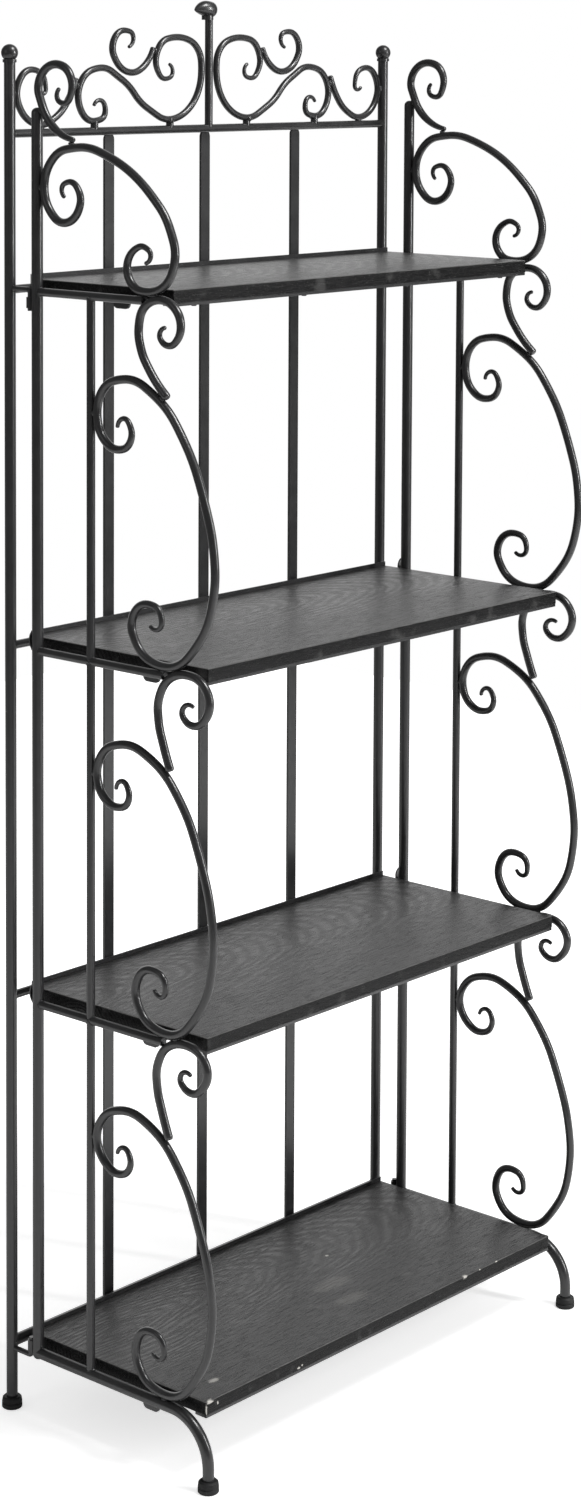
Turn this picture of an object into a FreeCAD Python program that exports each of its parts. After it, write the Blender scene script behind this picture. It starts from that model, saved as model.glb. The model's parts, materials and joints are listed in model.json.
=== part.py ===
import FreeCAD, Part
import math
import os

# Folding bakers rack. Millimetres, +Z up, front towards -Y, left side at -X.
# Origin: floor level, mid width, midway between the front and the back feet.
# "setback" below is the distance forwards (-Y) of the back post centre plane.

# ---- overall frame -------------------------------------------------------
post_spacing = 640.0          # centre to centre of the two side planes
leg_setback = 303.4           # front leg centre
post_rise = 78.0              # back posts above the top rail
level_4_height = 75.9         # centre of the bottom rails
bottom_pitch = 398.8          # bottom rails to the next level
level_pitch = 396.9           # between the three upper levels
top_rail_rise = 171.5         # top rail over the highest side and cross rails
weld_gap = 0.1                # air left between round bars that are welded

# ---- bar stock -----------------------------------------------------------
post_diameter = 12.7
post_wall = 1.2
upright_diameter = 12.7
rail_diameter = 9.5
bottom_rail_diameter = 12.7
leg_wall = 1.2
leg_bend_radius = 52.0
scroll_diameter = 9.5
crest_diameter = 8.0
spindle_diameter = 9.5

# ---- side panels ---------------------------------------------------------
upright_setback = 43.2
upright_drop = 7.9            # rear upright below the bottom rail's centre
upright_rise = 201.0          # rear upright above the highest side rail's centre
mid_upright_setback = 126.1
upper_rail_inset = 97.4       # front end of the highest side rail behind the leg
middle_rail_inset = 67.4      # front ends of the two middle side rails behind the leg
scroll_overhang = 5.7         # centre line of the tall C scrolls in front of the leg's

# ---- rubber feet ---------------------------------------------------------
foot_height = 13.0
foot_diameter = 23.0
foot_shoulder_diameter = 21.5
foot_floor = 3.0              # rubber under the tube's end
foot_groove_height = 6.0
foot_groove_depth = 0.8
foot_groove_half = 1.0        # half the groove's width
foot_sole_edge = 1.0
foot_top_edge = 1.5
foot_clearance = 0.05

# ---- back panel ----------------------------------------------------------
ball_diameter = 19.0
ball_collar_diameter = 15.5
ball_collar_height = 3.5
ball_seat_diameter = 12.4     # where the ball meets the collar
ball_plug_length = 12.0
plug_clearance = 0.05
slat_width = 15.0
slat_thickness = 3.0
slat_spacing = 160.0
slat_drop = 2.5               # slats end this far below the top rail's centre
spindle_rise = 134.0          # spindle's end above the top rail's centre
bud_diameter = 20.0
bud_length = 25.0             # from the round end's centre to the tip
bud_arch = 1.4                # middle of the tapering part above a straight bud's
bud_droop = 0.6               # tip below the round end's centre
bud_fullness = 0.85           # 0.5 rounds the taper off like an egg, 1 draws it out
bud_sections = 6              # rings that shape the tapering part
bud_end_rings = 3             # rings that shape the round end
bud_rise = 5.0                # centre of the bud's round end above the spindle's end
collar_diameter = 14.0
collar_thickness = 4.0
collar_shift = 2.5            # collar's middle from the spindle's, towards the tip
stud_diameter = 9.0
stud_height = 2.75            # air between the top rail and the crest's scrolls
crest_inner_offset = 12.8     # centre line of the crest scrolls nearest mid width

# ---- side hinges ---------------------------------------------------------
hook_diameter = 6.0
hook_bend_radius = 4.0
barrel_diameter = 9.0
barrel_clearance = 0.05
upper_barrel_drop = 18.5      # upper barrel's bottom below the highest side rail's centre
upper_barrel_height = 12.0
upper_hook_gap = 5.0          # hook arm above the upper barrel
lower_barrel_drop = 1.9       # lower barrel's bottom below the bottom rail's centre
lower_barrel_height = 13.5
lower_hook_gap = 1.5          # hook arm below the lower barrel
hook_end_past_barrel = 3.0

# ---- shelves -------------------------------------------------------------
board_side_gap = 13.0         # board's edge to the side panel's middle plane
board_thickness = 15.0
board_rear = 20.4             # setback of the rear edge
upper_board_depth = 216.1
board_depth = 267.1
board_corner_radius = 1.5
board_edge_radius = 1.0
board_above_rail = 12.4       # board top over the upper rails' centres
bottom_board_above_rail = 12.6
angle_thickness = 1.5
angle_foot = 25.0             # depth of the rear angle's flange under the board
lip_height = 5.0              # rear angle above the board's top
strip_depth = 16.0
strip_thickness = 3.0
strip_inset = 0.5
strip_end_inset = 1.0
screw_head_diameter = 7.0
screw_head_height = 1.8
screw_shank_diameter = 3.5
screw_length = 11.0
screw_hole_spare = 1.0        # hole past the screw's end
screw_edge_offset = 40.0
screw_count = 4

# ---- shelf hinges --------------------------------------------------------
pivot_setback = 12.0
pivot_below_top = 5.5
lug_inset = 27.0              # lug's outer face from the board's edge
lug_thickness = 3.0
ear_thickness = 2.0
hinge_play = 0.3              # sideways air between lug, ear and pin head
pin_diameter = 5.0
pin_clearance = 0.05
ear_radius = 5.0
pin_head_diameter = 8.0
pin_head_height = 1.5

# ---- shelf brackets and stops on the side panels -------------------------
bracket_length = 24.0
bracket_thickness = 2.5
bracket_reach = 12.0          # how far the bracket reaches under the board
bracket_drop = 6.5            # tab below the upper rails
bottom_bracket_drop = 10.5    # tab below the bottom rail
bracket_rise = 3.0            # tab above the rail's centre
bracket_corner_radius = 6.0
bracket_setback = 200.0
upper_bracket_setback = 155.0
bow_thickness = 1.6
bow_width = 5.0
bow_height = 22.5
bow_bulge = 5.2

# ---- side scrolls: centre line points ------------------------------------
# (forwards of the upright that the scroll leans on, above the side rail there)
top_scroll_points = [
    (34.8, 220.0), (30.8, 211.0), (42.3, 204.0), (53.8, 219.0),
    (49.3, 237.5), (30.8, 246.0), (10.3, 238.5), (1.8, 221.0),
    (6.8, 204.0), (17.8, 185.5), (32.8, 173.0), (52.8, 165.5)]
c_scroll_1_points = [
    (42.3, 104.5), (37.8, 114.0), (48.8, 121.5), (65.8, 108.5),
    (62.3, 89.0), (40.3, 77.0), (16.8, 93.0), (11.1, 121.5),
    (27.8, 149.0), (62.8, 159.0), (121.8, 145.5), (168.8, 115.5),
    (198.8, 80.5), (207.8, 46.5), (195.3, 19.5), (168.8, 9.5),
    (145.8, 15.5), (137.3, 33.5), (146.8, 52.0), (163.3, 56.5),
    (172.3, 48.0), (164.0, 39.5)]
c_scroll_2_points = [
    (40.3, 257.9), (48.4, 268.4), (60.9, 257.4), (57.4, 241.4),
    (38.9, 234.4), (17.4, 246.4), (9.5, 269.4), (19.9, 298.9),
    (52.9, 310.9), (103.4, 291.4), (143.9, 244.4), (167.4, 193.4),
    (180.9, 146.4), (182.9, 100.4), (163.4, 44.9), (116.9, 9.6),
    (69.9, 27.4), (61.9, 49.4), (83.9, 72.9), (104.9, 64.4),
    (102.4, 48.4), (89.1, 50.4)]
c_scroll_3_points = [
    (38.9, 262.3), (46.4, 272.8), (57.9, 262.3), (55.4, 249.8),
    (39.4, 243.3), (17.9, 252.8), (9.5, 275.3), (19.4, 300.3),
    (49.9, 313.3), (98.9, 299.3), (139.9, 257.3), (163.9, 207.3),
    (178.9, 157.3), (182.9, 107.3), (166.4, 49.3), (117.4, 9.8),
    (76.9, 25.3), (68.4, 49.3), (89.9, 74.8), (112.9, 62.8),
    (107.9, 48.8), (96.4, 54.8)]
c_scroll_4_points = [
    (40.9, 256.0), (49.9, 265.0), (60.9, 253.5), (57.4, 241.0),
    (42.4, 234.0), (19.9, 244.0), (9.5, 268.0), (20.9, 293.0),
    (51.9, 306.5), (98.9, 294.0), (140.9, 251.0), (164.4, 202.0),
    (178.9, 155.0), (182.9, 107.0), (167.9, 51.0), (119.4, 8.5),
    (77.4, 23.0), (69.4, 46.5), (88.4, 71.5), (110.9, 62.0),
    (107.4, 45.5), (94.9, 49.0)]
s_scroll_1_points = [
    (111.9, -28.0), (102.9, -36.5), (107.9, -45.0), (117.9, -47.5),
    (129.9, -38.5), (133.4, -20.0), (120.4, -2.0), (100.4, 2.0),
    (79.9, -8.0), (71.9, -32.5), (76.4, -56.5), (89.9, -79.0),
    (110.4, -101.5)]
s_scroll_2_points = [
    (153.9, -29.1), (144.4, -27.6), (136.9, -37.1), (143.4, -47.1),
    (155.9, -49.6), (170.4, -40.1), (176.9, -21.6), (167.4, -2.1),
    (139.9, 5.4), (115.9, -4.6), (102.4, -28.6), (102.9, -55.6),
    (110.4, -80.6), (117.9, -100.6)]
s_scroll_3_points = [
    (151.4, -27.2), (141.4, -24.7), (135.4, -34.2), (141.9, -44.2),
    (154.4, -47.2), (168.9, -36.7), (175.4, -18.2), (166.4, 0.8),
    (139.9, 8.3), (114.9, -2.2), (101.4, -27.2), (101.9, -56.7),
    (108.9, -81.7), (117.4, -106.2)]

# ---- crest scrolls: centre line points -----------------------------------
# (offset from mid width, above the top rail)
crest_s_points = [
    (67.5, 75.5), (61.5, 65.5), (74.0, 58.5), (88.0, 71.5),
    (84.5, 94.5), (51.0, 106.5), (18.0, 91.5), (13.0, 63.0),
    (31.0, 26.0), (66.0, 11.5), (105.0, 26.0), (144.0, 57.5),
    (178.0, 71.5), (207.5, 59.5), (214.5, 36.0), (189.0, 11.5),
    (172.0, 20.5), (181.0, 35.0), (190.0, 28.5)]
crest_c_points = [
    (217.5, 61.0), (227.0, 40.5), (246.0, 19.5), (275.0, 9.5),
    (301.5, 24.0), (308.5, 50.0), (287.0, 70.5), (266.0, 57.5),
    (268.5, 43.5), (277.0, 47.0)]
crest_hook_points = [
    (94.0, 95.0), (104.5, 77.0), (129.0, 66.0), (152.5, 77.0),
    (160.0, 97.0), (142.0, 114.0), (126.5, 106.5), (134.5, 95.0)]


def radius(diameter):
    return diameter / 2.0


tolerance = 0.01              # slack when edges are picked by their place
halvings = 24                 # steps of a search for a place
nearly_zero = 1e-6            # below this, two directions count as one
half_spacing = post_spacing / 2.0
mid_setback = leg_setback / 2.0
level_heights = [level_4_height + bottom_pitch + level_pitch * n for n in (2, 1, 0)] + [level_4_height]
top_rail_height = level_heights[0] + top_rail_rise
post_top = top_rail_height + post_rise
upright_bottom = level_4_height - upright_drop
upright_top = level_heights[0] + upright_rise
upper_barrel_bottom = level_heights[0] - upper_barrel_drop
lower_barrel_bottom = level_4_height - lower_barrel_drop
rail_ends = [leg_setback - upper_rail_inset] + [leg_setback - middle_rail_inset] * 2
board_width = post_spacing - 2.0 * board_side_gap
pivot_offset = board_width / 2.0 - lug_inset
spindle_top = top_rail_height + spindle_rise
bud_height = spindle_top + bud_rise
rail_diameters = [rail_diameter] * 3 + [bottom_rail_diameter]
bracket_drops = [bracket_drop] * 3 + [bottom_bracket_drop]
board_tops = [z + board_above_rail for z in level_heights[:3]]
board_tops.append(level_4_height + bottom_board_above_rail)
board_depths = [upper_board_depth] + [board_depth] * 3
hinge_setback = upright_setback - radius(upright_diameter) - radius(barrel_diameter) - weld_gap


def place(x, setback, z):
    """Point of the rack, with the setback measured forwards of the back posts."""
    return FreeCAD.Vector(x, mid_setback - setback, z)


def bar(start, end, diameter):
    """Round bar between two points."""
    axis = end - start
    return Part.makeCylinder(radius(diameter), axis.Length, start, axis)


def tube(start, end, diameter, wall):
    """Round tube between two points."""
    return bar(start, end, diameter).cut(bar(start, end, diameter - 2.0 * wall))


def block(x_range, setback_range, z_range):
    """Box between two offsets, two setbacks and two heights."""
    near = place(x_range[0], setback_range[1], z_range[0])
    size = (x_range[1] - x_range[0], setback_range[1] - setback_range[0], z_range[1] - z_range[0])
    return Part.makeBox(size[0], size[1], size[2], near)


def group(solids):
    """Separate solids that share one node."""
    flat = []
    for item in solids:
        flat.extend(item.Solids)
    return Part.makeCompound(flat)


def mirrored(shape):
    """The shape on the other side of the rack's middle plane."""
    return shape.mirror(FreeCAD.Vector(0, 0, 0), FreeCAD.Vector(1, 0, 0))


def both_sides(shape):
    return group([shape, mirrored(shape)])


def save(name, shape):
    """Writes one node and prints a line about it."""
    shape.exportStep("parts/" + name + ".step")
    box = shape.BoundBox
    print("%-24s solids %2d valid %s volume %9.0f  x %7.1f %7.1f  y %7.1f %7.1f  z %7.1f %7.1f" % (
        name, len(shape.Solids), shape.isValid(), shape.Volume,
        box.XMin, box.XMax, box.YMin, box.YMax, box.ZMin, box.ZMax))


# ---- curves --------------------------------------------------------------
def vector_2d(pair):
    return FreeCAD.Vector(pair[0], pair[1], 0.0)


def tangent_at(before, point, after):
    """Direction at the middle one of three points on a circle."""
    first = point - before
    second = after - point
    blend = first * (second.Length / first.Length) + second * (first.Length / second.Length)
    return blend.normalize()


def mirror_direction(direction, chord):
    """Direction at the far end of the arc that starts along direction and spans chord."""
    along = FreeCAD.Vector(chord).normalize()
    return (along * (2.0 * direction.dot(along)) - direction).normalize()


def biarc_middle(start, start_direction, end, end_direction):
    """Point where two tangent arcs from start to end meet."""
    chord = end - start
    both = start_direction + end_direction
    bend = 2.0 * (1.0 - start_direction.dot(end_direction))
    reach = chord.dot(both)
    if bend < nearly_zero:
        length = chord.dot(chord) / (2.0 * reach)
    else:
        length = (math.sqrt(reach * reach + bend * chord.dot(chord)) - reach) / bend
    return (start + end + (start_direction - end_direction) * length) * 0.5


def arc_nodes(points):
    """Ends and directions of the tangent arcs that run through the points."""
    spots = [vector_2d(pair) for pair in points]
    inner = [tangent_at(spots[i - 1], spots[i], spots[i + 1]) for i in range(1, len(spots) - 1)]
    first = mirror_direction(inner[0] * -1.0, spots[0] - spots[1]) * -1.0
    last = mirror_direction(inner[-1], spots[-1] - spots[-2])
    directions = [first] + inner + [last]
    nodes = [(spots[0], directions[0])]
    for i in range(len(spots) - 1):
        if 0 < i < len(spots) - 2:
            middle = biarc_middle(spots[i], directions[i], spots[i + 1], directions[i + 1])
            nodes.append((middle, mirror_direction(directions[i], middle - spots[i])))
        nodes.append((spots[i + 1], directions[i + 1]))
    return nodes


def arc_crown(start, direction, end):
    """Middle point of the arc that leaves start along direction and ends at end."""
    chord = end - start
    along = FreeCAD.Vector(chord).normalize()
    side = direction - along * direction.dot(along)
    if side.Length < nearly_zero:
        return None
    half_turn = math.acos(max(-1.0, min(1.0, direction.dot(along))))
    rise = chord.Length / 2.0 * math.tan(half_turn / 2.0)
    return (start + end) * 0.5 + side.normalize() * rise


class Curve:
    """Chain of tangent arcs in the plane, with places found along it."""

    def __init__(self, points):
        self.nodes = arc_nodes(points)
        self.edges = []
        for (start, direction), (end, unused) in zip(self.nodes, self.nodes[1:]):
            crown = arc_crown(start, direction, end)
            if crown is None:
                self.edges.append(Part.LineSegment(start, end).toShape())
            else:
                self.edges.append(Part.Arc(start, crown, end).toShape())
        self.wire = Part.Wire(self.edges)

    def limits(self):
        return self.wire.BoundBox


def shifted(points, across, up):
    return [(a + across, b + up) for a, b in points]


def widened(points, factor):
    """Points drawn sideways from the line at 0 by a factor."""
    return [(a * factor, b) for a, b in points]


def seated(points, left=None, right=None, bottom=None):
    """Points moved until the arcs through them meet the given limits."""
    box = Curve(points).limits()
    across = 0.0
    if left is not None:
        across = left - box.XMin
    if right is not None:
        across = right - box.XMax
    up = 0.0
    if bottom is not None:
        up = bottom - box.YMin
    return shifted(points, across, up)


def swept(points, to_space, diameter):
    """Round rod whose centre line is the arcs through the points."""
    curve = Curve(points)
    path = []
    for edge in curve.edges:
        first, last = edge.FirstParameter, edge.LastParameter
        stations = [to_space(edge.valueAt(first + (last - first) * part)) for part in (0.0, 0.5, 1.0)]
        if isinstance(edge.Curve, Part.Circle):
            path.append(Part.Arc(*stations).toShape())
        else:
            path.append(Part.LineSegment(stations[0], stations[2]).toShape())
    start, direction = curve.nodes[0]
    centre = to_space(start)
    ahead = to_space(start + direction) - centre
    section = Part.Wire([Part.Circle(centre, ahead, radius(diameter)).toShape()])
    return Part.Wire(path).makePipeShell([section], True, False)


def side_space(point):
    """Side panel plane: setback and height to a point of the left panel."""
    return place(-half_spacing, point.x, point.y)


def crest_space(point):
    """Back post plane: offset and height to a point of the crest."""
    return place(point.x, 0.0, point.y)


def solve(measure, low, high, target):
    """Value between low and high at which the falling measure meets the target."""
    for unused in range(halvings):
        middle = (low + high) / 2.0
        if measure(middle) > target:
            low = middle
        else:
            high = middle
    return low


def distance(points, other):
    """Least distance between the arcs through two lists of points, or a wire."""
    return Curve(points).wire.distToShape(other)[0]


def stretched(points, factor):
    """Points drawn downwards from the highest one by a factor."""
    top = max(height for setback, height in points)
    return [(setback, top - (top - height) * factor) for setback, height in points]


# ---- side scrolls, placed against the bars that carry them ----------------
scroll_shift = 20.0           # most that a side scroll moves to meet its neighbour
least_stretch = 0.5
most_stretch = 2.5            # range in which an S scroll is drawn out to the scroll below
scroll_reach = scroll_diameter + weld_gap
upright_reach = radius(upright_diameter) + radius(scroll_diameter) + weld_gap
mid_reach = radius(rail_diameter) + radius(scroll_diameter) + weld_gap


def panel_stretch():
    """Factor that brings the tall C scrolls to their reach past the front leg."""
    drawn = Curve(c_scroll_2_points).limits()
    reach = leg_setback + scroll_overhang - mid_upright_setback - mid_reach
    return reach / (drawn.XMax - drawn.XMin)


def c_scroll_points(level):
    """C scroll that stands on a side rail and leans on an upright."""
    shape = (c_scroll_1_points, c_scroll_2_points, c_scroll_3_points, c_scroll_4_points)[level]
    rail_top = level_heights[level] + radius(rail_diameters[level])
    lean = upright_setback + upright_reach if level == 0 else mid_upright_setback + mid_reach
    return seated(widened(shape, panel_stretch()), left=lean,
                  bottom=rail_top + radius(scroll_diameter) + weld_gap)


def s_scroll_points(level):
    """S scroll that hangs under one C scroll and ends on the back of the next."""
    drawn = (s_scroll_1_points, s_scroll_2_points, s_scroll_3_points)[level]
    shape = shifted(widened(drawn, panel_stretch()), mid_upright_setback, level_heights[level])
    above = Curve(c_scroll_points(level)).wire
    below = Curve(c_scroll_points(level + 1)).wire
    for unused in range(3):
        factor = solve(lambda value: distance(stretched(shape, value), below),
                       least_stretch, most_stretch, scroll_reach)
        shape = stretched(shape, factor)
        rise = solve(lambda up: distance(shifted(shape, 0.0, up), above),
                     -scroll_shift, scroll_shift, scroll_reach)
        shape = shifted(shape, 0.0, rise)
    return shape


def top_scroll_path():
    """Top scroll that leans on the rear upright and ends on the upper C scroll."""
    shape = shifted(widened(top_scroll_points, panel_stretch()), upright_setback, level_heights[0])
    line_ends = [(upright_setback, end) for end in (upright_bottom, upright_top - radius(upright_diameter))]
    upright = Part.LineSegment(vector_2d(line_ends[0]), vector_2d(line_ends[1])).toShape()
    below = Curve(c_scroll_points(0)).wire
    for unused in range(2):
        back = solve(lambda by: distance(shifted(shape, -by, 0.0), upright),
                     -scroll_shift, scroll_shift, upright_reach)
        shape = shifted(shape, -back, 0.0)
        down = solve(lambda by: distance(shifted(shape, 0.0, -by), below),
                     -scroll_shift, scroll_shift, scroll_reach)
        shape = shifted(shape, 0.0, -down)
    return shape


# ---- side panels -----------------------------------------------------------
def rounded_bar(start, end, diameter):
    """Round bar with domed ends."""
    reach = (end - start).normalize() * radius(diameter)
    shaft = bar(start + reach, end - reach, diameter)
    for centre in (start + reach, end - reach):
        shaft = shaft.fuse(Part.makeSphere(radius(diameter), centre))
    return shaft.removeSplitter()


def rear_upright():
    return rounded_bar(place(-half_spacing, upright_setback, upright_bottom),
                       place(-half_spacing, upright_setback, upright_top), upright_diameter)


def coping(start, end, diameter):
    """What a bar's neighbour is cut back by, with the weld's air."""
    return bar(start, end, diameter + 2.0 * weld_gap)


def upright_coping():
    return coping(place(-half_spacing, upright_setback, upright_bottom),
                  place(-half_spacing, upright_setback, upright_top), upright_diameter)


def side_rail_ends(level):
    height = level_heights[level]
    return place(-half_spacing, upright_setback, height), place(-half_spacing, rail_ends[level], height)


def side_rails():
    rails = []
    for level in range(3):
        start, end = side_rail_ends(level)
        coping_scroll = swept(s_scroll_points(level), side_space, scroll_diameter + 2.0 * weld_gap)
        rail = bar(start, end, rail_diameter).cut([upright_coping(), coping_scroll])
        rails.append(max(rail.Solids, key=lambda solid: solid.Volume))
    return group(rails)


def mid_upright():
    """Three lengths of bar, each between two side rails."""
    lengths = []
    for level in range(3):
        top = place(-half_spacing, mid_upright_setback, level_heights[level])
        bottom = place(-half_spacing, mid_upright_setback, level_heights[level + 1])
        piece = bar(bottom, top, rail_diameter)
        for joined in (level, level + 1):
            height = level_heights[joined]
            piece = piece.cut(coping(place(-half_spacing, upright_setback, height),
                                     place(-half_spacing, leg_setback - leg_bend_radius, height),
                                     rail_diameters[joined]))
        lengths.append(piece)
    return group(lengths)


def leg_path(start_setback, end_height):
    bend_start = leg_setback - leg_bend_radius
    bend_end = level_4_height - leg_bend_radius
    half = math.sqrt(0.5) * leg_bend_radius
    crown = place(-half_spacing, bend_start + half, bend_end + half)
    corner = [place(-half_spacing, bend_start, level_4_height), crown,
              place(-half_spacing, leg_setback, bend_end)]
    run = Part.LineSegment(place(-half_spacing, start_setback, level_4_height), corner[0]).toShape()
    drop = Part.LineSegment(corner[2], place(-half_spacing, leg_setback, end_height)).toShape()
    return Part.Wire([run, Part.Arc(*corner).toShape(), drop])


def pipe(path, start, ahead, diameter):
    """Round section swept along a wire from its start."""
    section = Part.Wire([Part.Circle(start, ahead, radius(diameter)).toShape()])
    return path.makePipeShell([section], True, False)


def leg_rail():
    """Bottom side rail that bends down into the front leg."""
    forwards = FreeCAD.Vector(0, -1, 0)
    start = place(-half_spacing, upright_setback, level_4_height)
    path = leg_path(upright_setback, foot_floor)
    outer = pipe(path, start, forwards, bottom_rail_diameter)
    inner = pipe(path, start, forwards, bottom_rail_diameter - 2.0 * leg_wall)
    return outer.cut(inner).cut(upright_coping())


def rubber_foot(x, setback, leg_diameter):
    """Rubber cap with a groove round it and a pocket for the leg."""
    base = radius(foot_diameter)
    shoulder = radius(foot_shoulder_diameter)
    groove = base - foot_groove_depth
    profile = [(0, 0), (base - foot_sole_edge, 0), (base, foot_sole_edge),
               (base, foot_groove_height - foot_groove_half), (groove, foot_groove_height),
               (base, foot_groove_height + foot_groove_half), (shoulder, foot_height - foot_top_edge),
               (shoulder - foot_top_edge, foot_height), (0, foot_height), (0, 0)]
    centre = place(x, setback, 0.0)
    outline = Part.makePolygon([centre + FreeCAD.Vector(r, 0, z) for r, z in profile])
    body = Part.Face(outline).revolve(centre, FreeCAD.Vector(0, 0, 1), 360.0)
    pocket = bar(place(x, setback, foot_floor), place(x, setback, 2.0 * foot_height),
                 leg_diameter + 2.0 * foot_clearance)
    return body.cut(pocket)


def hinge_barrels():
    barrels = []
    for bottom, height in ((upper_barrel_bottom, upper_barrel_height),
                           (lower_barrel_bottom, lower_barrel_height)):
        ends = (place(-half_spacing, hinge_setback, bottom),
                place(-half_spacing, hinge_setback, bottom + height))
        barrels.append(bar(ends[0], ends[1], barrel_diameter).cut(
            bar(ends[0], ends[1], hook_diameter + 2.0 * barrel_clearance)))
    return group(barrels)


def shelf_bracket(level):
    """Tab on the inner side of a side rail, with a ledge under the board."""
    rail_height = level_heights[level]
    rail_radius = radius(rail_diameters[level])
    start = upper_bracket_setback if level == 0 else bracket_setback
    run = (start, start + bracket_length)
    board_bottom = board_tops[level] - board_thickness
    face = -half_spacing + rail_radius + weld_gap
    tab_bottom = rail_height - rail_radius - bracket_drops[level]
    tab = block((face, face + bracket_thickness), run, (tab_bottom, rail_height + bracket_rise))
    low_edges = [edge for edge in tab.Edges
                 if edge.BoundBox.ZMax < tab_bottom + tolerance
                 and edge.BoundBox.YLength < tolerance]
    for edge in low_edges:
        corner = edge.CenterOfMass
        inwards = 1.0 if corner.y < place(0, sum(run) / 2.0, 0).y else -1.0
        middle = corner + FreeCAD.Vector(0, inwards * bracket_corner_radius, bracket_corner_radius)
        square = Part.makeBox(2 * bracket_thickness, bracket_corner_radius, bracket_corner_radius,
                              FreeCAD.Vector(corner.x - bracket_thickness,
                                             min(corner.y, middle.y), corner.z))
        disc = Part.makeCylinder(bracket_corner_radius, 2 * bracket_thickness,
                                 FreeCAD.Vector(corner.x - bracket_thickness, middle.y, middle.z),
                                 FreeCAD.Vector(1, 0, 0))
        tab = tab.cut(square.cut(disc))
    board_edge = -board_width / 2.0
    ledge = block((face, board_edge + bracket_reach), run,
                  (board_bottom - bracket_thickness, board_bottom))
    return tab.fuse(ledge).removeSplitter()


def stop_bow(level):
    """Bent strap on the rear of the rear upright, at a shelf's height."""
    half_height = bow_height / 2.0
    bow_radius = (half_height ** 2 + bow_bulge ** 2) / (2.0 * bow_bulge)
    rear = upright_setback - radius(upright_diameter)
    height = level_heights[level] + bow_height / 2.0
    centre_setback = rear - bow_bulge + bow_radius
    axis = FreeCAD.Vector(1, 0, 0)
    start = place(-half_spacing - bow_width / 2.0, centre_setback, height)
    ring = Part.makeCylinder(bow_radius, bow_width, start, axis)
    ring = ring.cut(Part.makeCylinder(bow_radius - bow_thickness, bow_width, start, axis))
    keep = block((-half_spacing - bow_width, -half_spacing + bow_width),
                 (rear - 2.0 * bow_bulge, rear + bow_thickness), (height - bow_height, height + bow_height))
    return ring.common(keep).cut(upright_coping())


def side_panel():
    """Nodes of the left panel by name."""
    pieces = {
        "rear_upright": rear_upright(),
        "mid_upright": mid_upright(),
        "side_rails": side_rails(),
        "leg_rail": leg_rail(),
        "rubber_foot": rubber_foot(-half_spacing, leg_setback, bottom_rail_diameter),
        "top_scroll": swept(top_scroll_path(), side_space, scroll_diameter),
        "s_scrolls": group([swept(s_scroll_points(level), side_space, scroll_diameter)
                            for level in range(3)]),
        "hinge_barrels": hinge_barrels(),
        "shelf_brackets": group([shelf_bracket(level) for level in range(4)]),
        "stop_bows": group([stop_bow(level) for level in (1, 2)]),
    }
    for level in range(4):
        rod = swept(c_scroll_points(level), side_space, scroll_diameter)
        pieces["c_scroll_%d" % (level + 1)] = rod
    return pieces


# ---- back panel ------------------------------------------------------------
def post_coping(x):
    return coping(place(x, 0, 0), place(x, 0, post_top), post_diameter)


def cross_bar(height, diameter):
    """Level bar between the two back posts."""
    shaft = bar(place(-half_spacing, 0, height), place(half_spacing, 0, height), diameter)
    return shaft.cut(post_coping(-half_spacing)).cut(post_coping(half_spacing))


def back_post(x):
    return tube(place(x, 0, foot_floor), place(x, 0, post_top), post_diameter, post_wall)


def ball_finial(x):
    """Ball on a collar, with a plug inside the tube."""
    collar = bar(place(x, 0, post_top), place(x, 0, post_top + ball_collar_height), ball_collar_diameter)
    rise = math.sqrt(radius(ball_diameter) ** 2 - radius(ball_seat_diameter) ** 2)
    centre = place(x, 0, post_top + ball_collar_height + rise)
    plug_diameter = post_diameter - 2.0 * post_wall - 2.0 * plug_clearance
    plug = bar(place(x, 0, post_top - ball_plug_length), place(x, 0, post_top), plug_diameter)
    ball = Part.makeSphere(radius(ball_diameter), centre)
    return ball.fuse([collar, plug]).removeSplitter()


def slat(x):
    """Flat upright behind the cross rails, with a round top end."""
    front = -radius(rail_diameter) - weld_gap
    run = (front - slat_thickness, front)
    top = top_rail_height - slat_drop - radius(slat_width)
    body = block((x - radius(slat_width), x + radius(slat_width)), run, (level_4_height, top))
    head = Part.makeCylinder(radius(slat_width), slat_thickness, place(x, front, top),
                             FreeCAD.Vector(0, 1, 0))
    whole = body.fuse(head).removeSplitter()
    rail = coping(place(-half_spacing, 0, level_4_height), place(half_spacing, 0, level_4_height),
                  bottom_rail_diameter)
    return whole.cut(rail)


def spindle():
    shaft = bar(place(0, 0, top_rail_height), place(0, 0, spindle_top), spindle_diameter)
    return shaft.cut(coping(place(-half_spacing, 0, top_rail_height),
                            place(half_spacing, 0, top_rail_height), rail_diameter))


def bud_rings():
    """Distance from the round end's centre, size and height of the rings that the bud is drawn over."""
    size = radius(bud_diameter)
    for step in range(1, bud_end_rings + 1):
        angle = math.pi / 2.0 * step / (bud_end_rings + 1)
        yield -size * math.cos(angle), size * math.sin(angle), 0.0
    for step in range(bud_sections):
        share = math.sin(math.pi / 2.0 * step / bud_sections)
        height = bud_arch * math.sin(math.pi * share) - bud_droop * share ** 2
        yield bud_length * share, size * (1.0 - share ** 2) ** bud_fullness, height


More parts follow.
